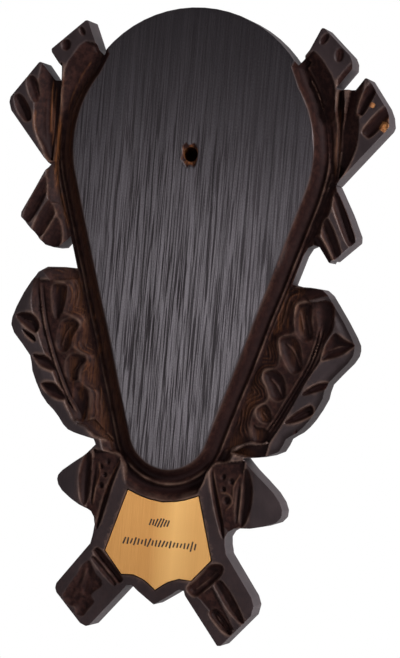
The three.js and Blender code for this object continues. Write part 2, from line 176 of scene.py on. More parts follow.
def lumps(seed, sizeX, sizeZ=None):
    noise = np.random.default_rng(seed).standard_normal(atX.shape)
    noise = blur(noise, sizeX, sizeZ)
    return noise / noise.std()


def ramp(values, low, high):
    share = np.clip((values - low) / (high - low), 0, 1)
    return share * share * (3 - 2 * share)


# The product of several ramps, each given as its values, where it is 0 and where it is 1
def zone(*ramps):
    share = 1.0
    for values, low, high in ramps:
        share = share * ramp(values, low, high)
    return share


# Smooth line through a few points, each [x, z] or [x, z, depth]
def smoothLine(points, perSpan=6):
    knots = np.array(points, float)
    if len(knots) < 3:
        return np.array([knots[0] + (knots[-1] - knots[0]) * t for t in np.linspace(0, 1, perSpan + 1)])
    padded = np.vstack([2 * knots[0] - knots[1], knots, 2 * knots[-1] - knots[-2]])
    result = []
    for a, b, c, d in zip(padded, padded[1:], padded[2:], padded[3:]):
        for t in np.arange(perSpan) / perSpan:
            result.append(0.5 * (2 * b + (c - a) * t + (2 * a - 5 * b + 4 * c - d) * t ** 2
                                 + (3 * b - a - 3 * c + d) * t ** 3))
    return np.array(result + [knots[-1]])


# The points of a line at the heights given
def atHeights(line, heights):
    x, z, deep = np.array(line, float)[::-1].T
    return np.column_stack([np.interp(heights, z, x), heights, np.interp(heights, z, deep)])


def window(points, reach):
    low = np.floor((points[:, :2].min(axis=0) - reach - gridLow) / step).astype(int)
    high = np.ceil((points[:, :2].max(axis=0) + reach - gridLow) / step).astype(int) + 1
    low = np.clip(low, 0, gridSize)
    high = np.clip(high, 0, gridSize)
    return slice(low[1], high[1]), slice(low[0], high[0])


# For the grid points near a line: how far each is to the side of it, and its share of the way along
def besideLine(points, reach):
    area = window(points, reach)
    x, z = atX[area], atZ[area]
    lengths = np.hypot(*np.diff(points[:, :2], axis=0).T)
    total = lengths.sum()
    nearest = np.full(x.shape, 1e9)
    aside = np.zeros(x.shape)
    share = np.zeros(x.shape)
    done = 0.0
    for (x0, z0), (x1, z1), length in zip(points[:-1, :2], points[1:, :2], lengths):
        if length < 1e-9:
            continue
        t = ((x - x0) * (x1 - x0) + (z - z0) * (z1 - z0)) / length ** 2
        t = np.clip(t, 0 if done > 0 else -9, 1 if done + length < total - 1e-6 else 9)
        offX, offZ = x - x0 - t * (x1 - x0), z - z0 - t * (z1 - z0)
        distance = offX ** 2 + offZ ** 2
        better = distance < nearest
        nearest = np.where(better, distance, nearest)
        sign = np.sign((x1 - x0) * offZ - (z1 - z0) * offX)
        aside = np.where(better, sign * np.sqrt(distance), aside)
        share = np.where(better, (done + t * length) / total, share)
        done += length
    return area, aside, share, total


depth = np.zeros(atX.shape, np.float32)
warm = np.zeros(atX.shape, np.float32)       # orange, worn through the stain, and painted light in the left cove
bare = np.zeros(atX.shape, np.float32)       # fresh unstained wood
worn = np.zeros(atX.shape, np.float32)       # rubbed pale along a crest


def onSide(side, points):
    placed = np.array(points, float)
    placed[:, 0] *= side
    return placed


# Cuts. Each takes x measured outwards from the centreline, and side -1 for the left, 1 for the right.
def cutFacets(triangles):
    for triangle in triangles:
        (ax, az, ad), (bx, bz, bd), (cx, cz, cd) = triangle
        area = (bx - ax) * (cz - az) - (bz - az) * (cx - ax)
        if abs(area) < 1e-6:
            continue
        part = window(np.array(triangle), step)
        x, z = atX[part], atZ[part]
        u = ((x - ax) * (cz - az) - (z - az) * (cx - ax)) / area
        v = ((bx - ax) * (z - az) - (bz - az) * (x - ax)) / area
        slack = 0.02
        inside = (u > -slack) & (v > -slack) & (u + v < 1 + slack)
        level = ad + u * (bd - ad) + v * (cd - ad)
        depth[part] = np.where(inside, np.maximum(depth[part], level), depth[part])


# A hollow or flat slope between two lines with as many points each
def cutSlope(side, high, low, sag=0.0, across=9):
    a, b = smoothLine(onSide(side, high)), smoothLine(onSide(side, low))
    shares = np.linspace(0, 1, across)
    rows = [a + (b - a) * t + np.array([0, 0, 4 * sag * t * (1 - t)]) for t in shares]
    triangles = []
    for first, second in zip(rows, rows[1:]):
        for k in range(len(a) - 1):
            triangles.append((first[k], first[k + 1], second[k + 1]))
            triangles.append((first[k], second[k + 1], second[k]))
    cutFacets(triangles)


def cutChip(side, corners):
    placed = onSide(side, corners)
    flat = [Vector((x, z, 0)) for x, z, _ in placed]
    cutFacets([[placed[k] for k in three] for three in tessellate_polygon([flat])])


# A gouge stroke. blunt below 0.5 keeps its width nearly to its ends; comb is the height of the
# streaks left along it, and crown a thin ridge left standing down its middle.
def cutScoop(side, path, width, deep, level=0.0, blunt=0.4, comb=0.1, crown=0.0, power=0.8, seed=1):
    if len(path) == 1:
        x, z = path[0]
        path = [[x, z + width / 2], [x, z - width / 2]]
    line = smoothLine(onSide(side, path))
    area, aside, share, length = besideLine(line, width)
    ends = np.clip(4 * share * (1 - share), 0, 1) ** blunt
    half = np.maximum(width / 2 * ends, 1e-6)
    across = np.clip(1 - (aside / half) ** 2, 0, 1)
    random = np.random.default_rng(seed)
    streaks = sum(np.sin(aside * wave + random.uniform(0, 6.3)) for wave in (3.1, 5.3, 7.9)) / 3
    floor = level + deep * ends * across ** power + comb * streaks * np.sqrt(across)
    floor -= crown * np.clip(1 - np.abs(aside) / 0.7, 0, 1) * ramp(share, 0.05, 0.3) * ramp(share, 0.98, 0.75)
    inside = (np.abs(aside) < half) & (share > 0) & (share < 1)
    depth[area] = np.where(inside, np.maximum(depth[area], floor), depth[area])


# A hollow with an outline of its own, steep at the edge and round below. wall is how far in from
# the edge it reaches its full depth.
def cutHollow(side, shape, deep, level, wall, seed, ragged=0.07):
    knots = onSide(side, shape)
    loop = smoothLine(np.vstack([knots[-1:], knots, knots[:2]]), 4)[4:4 + 4 * len(knots)]
    area = window(loop, 1)
    across = np.clip(insideDistance(loop, area) / wall, 0, 1)
    floor = level + deep * (across * (2 - across)) ** 0.8 + lumps(seed, 0.7, 1.6)[area] * ragged * across
    depth[area] = np.where(across > 0, np.maximum(depth[area], floor), depth[area])


# A soft stroke along a line: the part of the grid it touches, its profile, and its fading at the ends
def softStroke(side, path, width, reach, taper):
    area, aside, share, _ = besideLine(smoothLine(onSide(side, path)), reach)
    fade = ramp(share, 0, taper) * ramp(share, 1, 1 - taper)
    return area, np.exp(-(aside / (width / 2)) ** 2), fade


# A thin raised line (height above 0) or groove (below 0), added to what is there
def addLine(side, path, height, width, glow=0.0):
    area, profile, fade = softStroke(side, path, width, width + 1, 0.12)
    body = profile * fade
    depth[area] -= (height * body).astype(np.float32)
    if glow:
        warm[area] = np.maximum(warm[area], glow * body)


# Wear or bare wood along a line, laid into one of the layers
def paint(layer, side, path, width, strength, taper=0.15):
    area, profile, fade = softStroke(side, path, width, width, taper)
    layer[area] = np.maximum(layer[area], strength * profile * fade)


# Overlapping shallow cuts on the ground: thin ridges that run beside a line, wavering
def addContours(side, path, reach, spacing, height, seed):
    line = smoothLine(onSide(side, path))
    area, aside, share, _ = besideLine(line, reach)
    away = np.abs(aside)
    waver = lumps(seed, 2.6)[area]
    strength = ramp(lumps(seed + 5, 3.5)[area], -0.9, 0.5)
    wave = (0.5 + 0.5 * np.cos(2 * math.pi * (away / spacing + waver * 0.42))) ** 3 * strength
    fade = ramp(away, reach, reach * 0.6) * ramp(away, 0.2, 1.2) * ramp(share, 0, 0.06) * ramp(share, 1, 0.94)
    wanted = (fade > 0) & (sideOfGround[area] > 0) & (aside * side < 0)
    depth[area] -= np.where(wanted, height * wave * fade * sideOfGround[area], 0).astype(np.float32)
    warm[area] = np.maximum(warm[area], np.where(wanted, 0.45 * wave * fade * sideOfGround[area], 0))


# The field's outline, and the moulding round it
def arc(radius, z, start, end, count):
    turns = [math.radians(angle) for angle in np.linspace(start, end, count)]
    return [(radius * math.cos(turn), z + radius * math.sin(turn)) for turn in turns]


def fieldOutline():
    centre, tip = -field["drop"], -field["drop"] - field["length"]
    taper = math.degrees(math.asin((field["radius"] - field["tipRadius"]) / field["length"]))
    half = [field["above"], *field["shoulder"]]
    half += arc(field["radius"], centre, field["shoulderAngle"], -taper, 26)
    half += arc(field["tipRadius"], tip, -taper, -90, 20)
    return np.array(half + [(-x, z) for x, z in half[::-1]][1:])


def section(knots, out):
    return np.interp(out, [k[0] for k in knots], [k[1] for k in knots]).astype(np.float32)


# How far from the centreline the section at the foot reaches, at some heights
footReach = {
    "left": [(20.7, -157.5), (19.5, -163.0), (18.5, -171.0)],
    "right": [(20.3, -157.5), (18.5, -165.0), (16.3, -171.5)],
}


def reachOf(line):
    return np.interp(-atZ, [-z for _, z in line], [x for x, _ in line])


out = -insideDistance(fieldOutline())
wander = lumps(3, 6.0) * 0.12
depth = section(mouldingSection, out + wander)
reach = np.where(atX < 0, reachOf(footReach["left"]), reachOf(footReach["right"]))
between = ramp(reach - np.abs(atX), -0.35, 0.35)
low = ramp(atZ, -154.5, -157.5)
atFoot = section(footSection, out + wander) * between + section(rimSection, out + wander) * (1 - between)
depth = depth * (1 - low) + atFoot * low
(endX, endZ), (beforeX, beforeZ) = field["shoulder"]
length = math.hypot(endX - beforeX, endZ - beforeZ)
for side in (-1, 1):
    beside = atX * side > 30
    past = ((atX * side - endX) * (endX - beforeX) + (atZ - endZ) * (endZ - beforeZ)) / length
    depth *= np.where(beside, ramp(past, 0.9, -0.4), 1)     # the moulding stops at the shoulder
    if side < 0:     # it is shallower beside the left upper stump
        depth *= np.where(beside, 1 - 0.42 * ramp(out, 2.2, 4.2) * ramp(atZ, -4, 14), 1)
    # only its first hollow is cut beside the upper stumps
    depth *= np.where(beside, 1 - ramp(out, 5.9, 6.6) * ramp(atZ, 6, 15), 1)
depth[out > 15.2] = np.where(atZ < -150, 0.3, 0.0)[out > 15.2]
sideOfGround = ramp(out, 8.2, 9.6) * ramp(out, 26, 20)
report("moulding laid out")


def carveLeftStumps():
    # upper stump: hollow slope from its crest down to the moulding
    crest = [[56.5, 38.0, 0.2], [59.0, 35.8, 0.3], [61.6, 31.8, 0.4], [64.8, 26.0, 0.6], [66.2, 18.0, 1.4],
             [66.6, 6.0, 2.8], [66.8, -6.0, 4.0], [66.7, -14.0, 4.6]]
    foot = [[48.4, 36.4, 2.4], [46.6, 32.6, 3.4], [49.2, 27.0, 4.6], [53.6, 20.6, 5.2], [57.8, 12.6, 5.6],
            [61.4, 3.0, 5.8], [63.6, -6.0, 5.8], [65.6, -14.0, 5.6]]
    cutSlope(-1, crest, foot, 0.8)
    cutScoop(-1, [[67.6, 27], [68.4, 5], [67.9, -20]], 3.4, 6.0, comb=0)
    # middle stump
    foot = [[68.4, 21, 4.6], [68.6, 10, 5.4], [68.7, 0, 5.8], [68.8, -9, 5.8], [68.8, -16, 5.6],
            [68.9, -20, 5.4]]
    crest = [[77.2, 25.6, 0.2], [79.0, 11, 0.3], [78.4, 0, 0.6], [76.9, -7, 1.0], [73.4, -13.5, 1.8],
             [70.2, -19.6, 3.6]]
    cutSlope(-1, crest, foot, 0.9)
    # lower stump
    crest = [[70.2, -21, 3.8], [69.6, -28, 2.2], [68.2, -38, 1.5], [63.0, -45.5, 1.9], [58.8, -50, 3.6],
             [56.3, -54.6, 5.2]]
    foot = [[66.6, -20, 5.6], [65.2, -28, 5.6], [62.8, -37, 5.6], [60.4, -44, 5.6], [58.0, -50.0, 5.6],
            [56.0, -55, 5.6]]
    cutSlope(-1, crest, foot, 0.3)
    cutScoop(-1, [[65.8, 35.6]], 5.4, 1.5, power=1.2, seed=4)
    cutScoop(-1, [[59.7, 44.6], [57.2, 40.8]], 3.0, 1.1, power=1.2, seed=5)
    cutScoop(-1, [[82.4, 19.6], [76.6, 6.6]], 6.9, 2.3, blunt=0.34, power=1.0, crown=0.3, comb=0.2, seed=6)
    cutScoop(-1, [[88.2, 10.4], [80.9, -2.0]], 6.6, 2.3, blunt=0.34, power=1.0, crown=0.3, comb=0.2, seed=7)
    cutScoop(-1, [[68.6, -27], [78.8, -50.4]], 6.4, 1.7, blunt=0.3, power=0.6, comb=0.22, seed=8)
    cutScoop(-1, [[65.2, -38.6], [73, -56.4]], 7.2, 2.4, blunt=0.22, power=0.5, comb=0.1, seed=9)
    cutScoop(-1, [[59.4, -45.8], [67.4, -63.2]], 9.8, 3.0, blunt=0.2, power=0.45, comb=0.1, seed=10)
    addLine(-1, [[67.6, -40.6], [64.6, -40.2], [61.8, -42.4]], 0.45, 0.9)
    addLine(-1, [[52.4, 30.5], [57.4, 22.5], [61.2, 13.0], [63.8, 2.0]], 0.3, 0.9, glow=0.3)
    addLine(-1, [[71.4, 19], [71.4, 6], [70.6, -8]], 0.55, 1.0, glow=0.75)
    addLine(-1, [[69.9, 16], [69.9, 2], [69.6, -14]], 0.4, 0.7, glow=0.5)
    addLine(-1, [[73.8, 12], [73.4, -2], [72.0, -12]], 0.25, 0.8)
    paint(warm, -1, [[66.2, 22], [66.5, 6], [66.9, -8]], 1.1, 0.3)
    paint(warm, -1, [[66.9, 6], [66.9, -12], [66.5, -24], [64.6, -38]], 1.7, 1.6, 0.3)
    paint(warm, -1, [[63.4, -34], [60.6, -44], [57.6, -52]], 1.6, 0.55)
    paint(warm, -1, [[78.4, 4], [78.4, -3], [76.6, -8]], 1.1, 0.6)


def carveRightStumps():
    crest = [[54.0, 41.0, 0.2], [57.0, 38.6, 0.3], [61.0, 33.6, 0.5], [65.2, 26.0, 0.7], [66.2, 14, 2.3],
             [67.0, 4, 3.4], [67.6, -8, 4.3], [68.6, -16, 4.8]]
    foot = [[49.6, 36.6, 4.4], [49.4, 34.0, 5.6], [53.4, 27.5, 6.0], [58.2, 19, 6.0], [61.6, 10, 6.0],
            [63.8, 0, 6.0], [65.0, -9, 5.8], [66.0, -16, 5.6]]
    cutSlope(1, crest, foot, 0.4)
    cutScoop(1, [[68.6, 27], [69.3, 6], [69.8, -20]], 4.4, 6.0, comb=0)
    foot = [[72.8, 24.0, 3.6], [71.2, 12, 4.8], [70.4, 0, 5.2], [70.8, -8, 5.4], [71.0, -14, 5.2],
            [71.2, -18, 4.8]]
    crest = [[79.6, 30.0, 0.2], [78.4, 14, 0.4], [78.6, 6, 0.5], [78.3, -2, 0.8], [76.2, -9, 1.5],
             [73.0, -16, 3.2]]
    cutSlope(1, crest, foot, 0.3)
    crest = [[70.3, -21, 3.5], [68.1, -26, 2.4], [67.7, -35, 1.5], [63.8, -39, 2.0], [63.3, -44.5, 2.4],
             [59.6, -48.4, 4.2]]
    foot = [[66.8, -20, 5.6], [65.6, -25, 5.6], [63.4, -32, 5.6], [61.6, -38, 5.6], [59.8, -44, 5.6],
            [57.6, -51, 5.6]]
    cutSlope(1, crest, foot, 0.2)
    cutScoop(1, [[60.4, 49.2], [57.2, 44.2]], 3.6, 1.2, power=1.2, crown=0.3, seed=14)
    cutScoop(1, [[66.9, 43.0], [66.3, 36.4]], 5.2, 1.1, power=1.2, crown=0.3, seed=15)
    cutScoop(1, [[84.4, 28.2], [77.8, 12.4]], 5.4, 2.8, blunt=0.16, power=0.6, comb=0.16, seed=16)
    cutScoop(1, [[92.4, 16.4], [81.8, 2.8]], 6.4, 2.8, blunt=0.16, power=0.6, comb=0.2, seed=17)
    cutScoop(1, [[90.8, 8.8]], 4.4, 1.0, comb=0.05, seed=18)
    cutScoop(1, [[69.3, -24.8], [80.4, -49.2]], 5.6, 2.6, blunt=0.18, power=0.6, comb=0.2, seed=19)
    cutScoop(1, [[65.0, -37.4], [73.8, -55.8]], 6.6, 2.8, blunt=0.16, power=0.6, comb=0.2, seed=20)
    cutScoop(1, [[60.6, -45.2], [70.2, -59.4]], 6.6, 4.6, blunt=0.22, comb=0.1, seed=21)
    addLine(1, [[49.6, 35.4], [54.6, 28.4], [58.6, 20.6], [61.8, 14.6]], 0.5, 0.8)
    addLine(1, [[71.4, 12], [70.2, 3], [71.6, -14]], 0.5, 0.9)
    addLine(1, [[68.4, 16], [69.0, 4], [70.2, -12]], 0.3, 0.8, glow=0.3)
    # the corner chamfered off the upper stump, and its facet above the hollow
    cutChip(1, [[73.2, 37.5, 0.2], [70, 33.5, 0.2], [66.8, 28, 0.9], [67, 24, 2.6], [74, 31, 1.8],
                [74, 36, 1.4]])
    paint(bare, 1, [[92.2, 10.6], [89.0, 4.8]], 4.6, 1.0, 0.3)
    paint(bare, 1, [[85.0, 18.8], [83.6, 15.8]], 2.6, 1.0, 0.3)
    paint(warm, 1, [[93, 12], [88.4, 6.4]], 2.2, 0.8)
    paint(warm, 1, [[67.6, 4], [68.4, -10], [68.6, -18]], 1.2, 0.35)


leafFoot = [[52.6, -69, 5.8], [44.4, -93, 5.8], [35.4, -122, 5.8], [25.8, -152, 5.8]]


# The leaf half way down: an outer slope to the midrib, the inner half, and the ground by the moulding
def carveLeaf(side, leaf):
    rib, rim, crest = leaf["rib"], leaf["rim"], leaf["crest"]
    heights = [z for _, z, _ in crest]
    cutSlope(side, rim, rib, 0.2)
    cutSlope(side, crest, atHeights(rib, heights), 0.3)
    spread = [leaf["top"] + (leaf["bottom"] - leaf["top"]) * (heights[0] - z) / (heights[0] - heights[-1])
              for z in heights]
    cutSlope(side, crest, atHeights(leafFoot, spread), 0.6)
    cutSlope(side, *leaf["shoulder"], 0.4)
    cutSlope(side, *leaf["root"], 0.3)
    for seed, (shape, deep, level, wall) in enumerate(leaf["hollows"]):
        cutHollow(side, shape, deep, level, wall, 30 + seed)
    for strand in leaf["strands"]:
        addLine(side, strand, 0.6, 1.0)
    for offset, height in leaf["ribLines"]:
        shifted = [[x + offset, z] for x, z, _ in rib[leaf["ribFrom"]:]]
        addLine(side, shifted, height, 1.1)
    addContours(side, crest, 9.0, 2.2, 0.5, 50 + side)
    paint(worn, side, crest, 1.0, 0.8, 0.04)


leftLeaf = {
    "rib": [[69.2, -76, 1.4], [68, -86, 3.0], [65.8, -96, 3.2], [62.5, -106, 3.2], [58, -117, 3.2],
            [51, -131, 3.2], [43.6, -141.6, 3.0]],
    "rim": [[72.3, -77, 0.2], [72.2, -88, 0.3], [69.4, -97, 0.7], [65.4, -107.5, 1.0], [60.4, -117, 1.1],
            [53.4, -130.5, 1.4], [46.4, -142.4, 2.2]],
    "crest": [[64.4, -77.0, 1.2], [59.0, -77.4, 1.6], [56.0, -78.6, 1.8], [55.2, -81, 1.9],
              [55.5, -86, 2.0], [56.4, -91.4, 2.0], [52.4, -92.9, 2.0], [48.6, -94.8, 2.0],
              [47.9, -98, 2.1], [50.4, -103, 2.2], [50.9, -106.6, 2.2], [47.4, -109.3, 2.2],
              [43.6, -111, 2.2], [42.9, -114, 2.3], [45.4, -118, 2.4], [45.9, -122.4, 2.4],
              [44.2, -124.8, 2.4], [40.9, -126.6, 2.4], [39.7, -131, 2.5], [39.4, -137, 2.6],
              [38.6, -143, 2.8]],
    "top": -71, "bottom": -149,
    "shoulder": ([[68.0, -72.6, 0.2], [65.6, -75, 0.8], [63.6, -77, 1.3]],
                 [[56, -68.6, 5.4], [53, -71, 5.8], [51.5, -75, 5.8]]),
    "root": ([[45.0, -143.6, 2.2], [41.0, -144.6, 2.8], [36.4, -148.6, 2.4]],
             [[37.0, -141, 4.6], [32.0, -146, 5.4], [26.6, -151, 5.8]]),
    # outline, depth, level of the edge, width of the wall
    "hollows": [
        ([[63.4, -80], [62, -78.4], [58, -78], [55.8, -79.6], [55.9, -85], [56.6, -91], [58.4, -95.6],
          [61, -95.4], [63, -90], [63.8, -85]], 2.7, 1.9, 3.6),
        ([[56.6, -95], [52.6, -93.9], [49, -95.6], [48.6, -98], [51, -103], [51.4, -107.4], [53.6, -111],
          [57.4, -111], [59.6, -107], [59.4, -101], [58.4, -97]], 2.8, 2.0, 3.6),
        ([[51, -110.6], [47.6, -110.4], [43.9, -112.2], [43.9, -114.4], [46.4, -118], [46.6, -123],
          [50.4, -124.6], [53.6, -121], [54.2, -115], [52.8, -112]], 2.6, 2.2, 3.4),
        ([[48.6, -127], [46, -125.6], [42, -127], [40.6, -131], [40.4, -137], [41.4, -142], [44.6, -142.6],
          [47.4, -138], [49.2, -132]], 2.4, 2.4, 3.4),
        ([[79.3, -94.8], [76, -93.2], [71.5, -93.4], [68.2, -96], [67, -99.6], [69, -102.6], [73, -100.8],
          [76.8, -98]], 3.4, 0.3, 3.2),
        ([[75.4, -101.2], [72, -102.4], [69.2, -104.2], [68.6, -106.6], [71, -105.8], [74, -103.4]], 2.0,
         0.3, 1.2),
        ([[69.6, -113], [66, -112.6], [61.5, -113.4], [57.6, -117.4], [57.4, -120], [61, -119.6],
          [66, -117.6]], 3.2, 0.4, 2.6),
        ([[64.2, -126.8], [61, -125.2], [57, -125.8], [52.8, -129.4], [51.4, -132.6], [54.8, -133.2],
          [60, -131.4]], 3.2, 0.4, 2.6),
    ],
    "strands": [[[51.6, -97], [55.0, -102], [56.4, -108.6]], [[71, -97.6], [75.6, -96.4]], [[46, -114],
                                                                                            [49.6, -120]]],
    "ribLines": [(0.0, 0.9), (1.2, -0.5), (-1.3, -0.6)],
    "ribFrom": 0,
}
rightLeaf = {
    "rib": [[69.4, -75.4, 1.4], [69, -86, 3.0], [67.6, -97, 3.2], [65, -106, 3.2], [60.5, -115.5, 3.2],
            [55.6, -125, 3.2], [50.5, -135, 3.2], [45.5, -143, 3.2]],
    "rim": [[75, -77, 0.2], [74.9, -88, 0.3], [71.2, -96, 0.8], [69.6, -104, 0.9], [64, -114, 1.1],
            [58, -127, 1.3], [53.5, -136, 1.5], [48.6, -144.6, 2.3]],
    "crest": [[63.2, -77.0, 1.2], [58.2, -77.4, 1.6], [55.6, -79.2, 1.8], [55.1, -85, 1.9],
              [55.9, -91.6, 2.0], [51.4, -93.6, 2.0], [48.7, -95.6, 2.0], [49.5, -100, 2.1],
              [49.8, -106, 2.2], [48.4, -109.2, 2.2], [44.2, -110.4, 2.2], [41.9, -113, 2.2],
              [42.6, -116, 2.3], [45.0, -119, 2.4], [46.1, -123, 2.4], [45.4, -125.4, 2.4],
              [42.6, -127, 2.4], [40.6, -129, 2.4], [39.1, -133, 2.5], [38.5, -138, 2.6],
              [39.4, -145.0, 2.8]],
    "top": -71, "bottom": -150,
    "shoulder": ([[72, -73.2, 0.3], [66, -74.8, 0.8], [60.5, -76.8, 1.5], [55.4, -79.4, 1.9]],
                 [[68, -70.6, 2.0], [60, -70.6, 4.0], [54, -71.5, 5.6], [50, -77, 5.8]]),
    "root": ([[48.6, -145.0, 2.0], [43.0, -146.2, 2.6], [37.6, -146.6, 2.8]],
             [[47.0, -151.6, 4.6], [40.0, -152.4, 5.0], [31.0, -151, 5.8]]),
    "hollows": [
        ([[64.6, -80], [66, -76.8], [69.6, -75.8], [73, -76.8], [74.2, -80], [74, -88.6], [71, -95],
          [69, -97.6], [67.6, -94], [66, -90], [64.8, -85]], 2.8, 1.2, 4.6),
        ([[56, -80], [57.6, -77.9], [62.6, -77.6], [63.8, -81], [64.3, -86], [65.6, -91.5], [64.8, -95.2],
          [60.8, -96.6], [57.2, -93.4], [55.6, -87]], 3.0, 1.9, 3.6),
        ([[48.8, -96.6], [50.6, -94.2], [56, -93.6], [59.4, -97], [61, -103], [61.6, -108.6], [59.6, -111.4],
          [56, -111.8], [52.6, -107], [49.8, -101]], 3.0, 2.0, 3.6),
        ([[42.2, -112.8], [44.2, -110.6], [48.6, -110], [52.8, -113.4], [54.8, -119], [54.2, -123.4],
          [50.6, -125.4], [47.2, -123.6], [44.8, -118.6]], 2.9, 2.2, 3.4),
        ([[40.8, -129.6], [42.8, -127.4], [45.6, -126.8], [48, -129.8], [49.1, -134], [47.2, -135.8],
          [43.6, -135.6], [41.2, -133]], 2.7, 2.4, 3.0),
        ([[39.6, -137], [42, -137.4], [46, -137.6], [48.4, -140], [47.4, -144], [44, -145.4], [40.6, -144]],
         1.8, 2.7, 3.0),
        ([[85.6, -95.2], [81, -93.2], [76, -90.6], [73.6, -93], [71, -98], [70, -103.6], [74, -103],
          [80, -100.4], [84, -97.2]], 3.2, 0.3, 3.4),
        ([[75.2, -114.2], [72.6, -113.8], [68, -115.6], [64, -118.6], [62.6, -121], [67, -119.8],
          [72, -117.8], [75.2, -116]], 2.8, 0.4, 2.0),
        ([[68.6, -127], [67, -125.2], [63, -127.2], [58.4, -131], [55.4, -134.8], [60, -134.2], [65, -132],
          [68.4, -129.6]], 2.8, 0.4, 2.2),
        ([[61.4, -137.2], [60.2, -138.4], [60, -140.6], [61.4, -141.2], [62, -139]], 1.6, 0.3, 0.9),
    ],
    "strands": [[[57.6, -82], [60.2, -91]], [[60.6, -82.6], [63.2, -92.6]], [[51.4, -96.8], [56.4, -101],
                                                                             [60.2, -108.6]], [[45.8, -114],
                                                                                               [49.8, -118],
                                                                                               [52.8, -123]],
                [[43.4, -130.2], [47.8, -134.8]], [[83.4, -95.6], [77, -97.2], [72, -99.6]],
                [[73.6, -115.6], [65, -119]], [[67, -128.4], [58, -133]]],
    "ribLines": [(0.0, 0.7), (1.8, 0.6), (-1.8, 0.6), (0.9, -0.6), (-0.9, -0.6)],
    "ribFrom": 1,
}


# The small pointed leaves beside the plate
def carveTipLeaf(side, tip):
    cutChip(side, tip["ground"])
    cutChip(side, tip["fall"])
    cutScoop(side, tip["rim"], 3.4, 3.0, blunt=0.4, comb=0.2, seed=60)
    cutScoop(side, tip["lens"], 6.4, 3.4, blunt=0.42, comb=0.16, seed=61)
    cutScoop(side, tip["vein"], 2.4, 2.2, level=0.6, comb=0.2, seed=62)
    for seed, (x, z, width) in enumerate(tip["dimples"]):
        cutScoop(side, [[x, z]], width, 1.7, level=1.5, power=1.2, comb=0.1, seed=63 + seed)
    for path in tip["ridges"]:
        addLine(side, path, 0.5, 0.8, glow=0.25)


leftTip = {
    "rim": [[22, -157.6], [26.8, -172], [31, -193]],
    "ground": [[22.5, -157, 2.4], [35.2, -155.6, 2.4], [36, -170, 1.6], [36.6, -184, 1.4], [32.5, -189, 0.6],
               [30.4, -186, 1.0], [27, -172, 1.6]],
    "lens": [[37.6, -156.6], [38.6, -168], [37.8, -182]],
    "vein": [[34.2, -159], [34.6, -183]],
    "dimples": [[28.4, -160.6, 2.8], [31.6, -163, 2.8], [29.4, -166.8, 2.8], [30.8, -172, 3.2]],
    "fall": [[42.6, -156, 0.1], [55, -164, 3.0], [55, -178, 3.0], [42.6, -183, 0.1]],
    "ridges": [[[22.4, -158.6], [26.2, -168], [28.6, -177]], [[33.2, -160], [31.8, -167], [33.4, -174],
                                                              [34, -182]]],
}
rightTip = {
    "rim": [[21.6, -157.6], [25.2, -172], [31, -192]],
    "ground": [[21.6, -157.4, 2.2], [37.4, -154.6, 2.2], [37, -170, 1.5], [37.6, -185, 1.3], [33, -188, 0.6],
               [30.6, -186, 1.0], [26, -172, 1.6]],
    "lens": [[38.6, -157.6], [40, -171], [38.6, -185.6]],
    "vein": [[36, -162], [36, -185]],
    "dimples": [[28, -162.6, 3.0], [32.2, -164.4, 3.2], [28.6, -168.4, 2.8], [30.6, -173.6, 4.0]],
    "fall": [[43, -158, 0.1], [58, -168, 2.6], [59, -182, 2.6], [43, -186.6, 0.1]],
    "ridges": [[[22.6, -158.6], [25, -168], [27.6, -177], [29.6, -183]], [[36.6, -160], [33.4, -166.6],
                                                                          [33.8, -173]], [[26.6, -170.4],
                                                                                          [31.4, -170.6],
                                                                                          [33.4, -174.4],
                                                                                          [30, -179]]],
}


def carveLeftLeg():
    cutScoop(-1, [[30.8, -202.2], [16.8, -216.6]], 5.0, 3.2, blunt=0.18, comb=0.2, seed=70)
    cutScoop(-1, [[31.8, -206], [19.2, -218.4]], 3.4, 2.0, blunt=0.2, comb=0.2, seed=71)
    cutHollow(-1, [[32.6, -207.8], [36.0, -209.6], [38.6, -214.4], [42.6, -221.0], [44.8, -226.6],
                   [41.6, -230.2], [38.6, -231.0], [37.4, -234.4], [33.6, -234.8], [31.2, -231.4],
                   [28.6, -227.4], [30.2, -224.0], [25.6, -219.6], [26.4, -216.0], [29.0, -213.8]], 1.7,
              0.0, 3.8, 72, 0.2)
    addLine(-1, [[33.6, -211], [35.6, -218], [39.8, -226.4]], 0.5, 2.2)
    addLine(-1, [[38.4, -222.6], [33.6, -224.8], [30.6, -224.2]], 0.4, 1.6)


def carveRightLeg():
    cutHollow(1, [[25.6, -204.4], [31.4, -204.2], [31.4, -208.8], [26.2, -214.8], [20.6, -219.9],
                  [17.0, -219.2], [15.4, -216.0], [20.4, -210.0]], 3.2, 0.4, 2.4, seed=74)
    addLine(1, [[29.6, -206.6], [24.0, -212.6], [18.4, -217.6]], 0.6, 1.0)
    cutChip(1, [[20.4, -219.4, 1.0], [27.4, -215.0, 1.0], [39.0, -233.4, 1.2], [36.0, -234.6, 1.2],
                [28.4, -227, 1.2]])
    cutHollow(1, [[28.0, -213.0], [30.8, -211.0], [34.2, -213.8], [39.2, -220.4], [43.4, -227.6],
                  [44.4, -231.0], [41.2, -229.8], [36.0, -225.0], [31.2, -218.4]], 1.9, 0.6, 1.9, seed=75)
    cutHollow(1, [[27.4, -228.0], [27.8, -225.6], [30.6, -225.0], [34.2, -228.2], [38.4, -234.0],
                  [38.0, -236.4], [34.6, -235.4], [30.2, -231.4]], 1.9, 1.0, 1.6, seed=76)
    addLine(1, [[30.0, -227.4], [33.2, -231.2], [36.4, -234.6]], 0.6, 1.0)


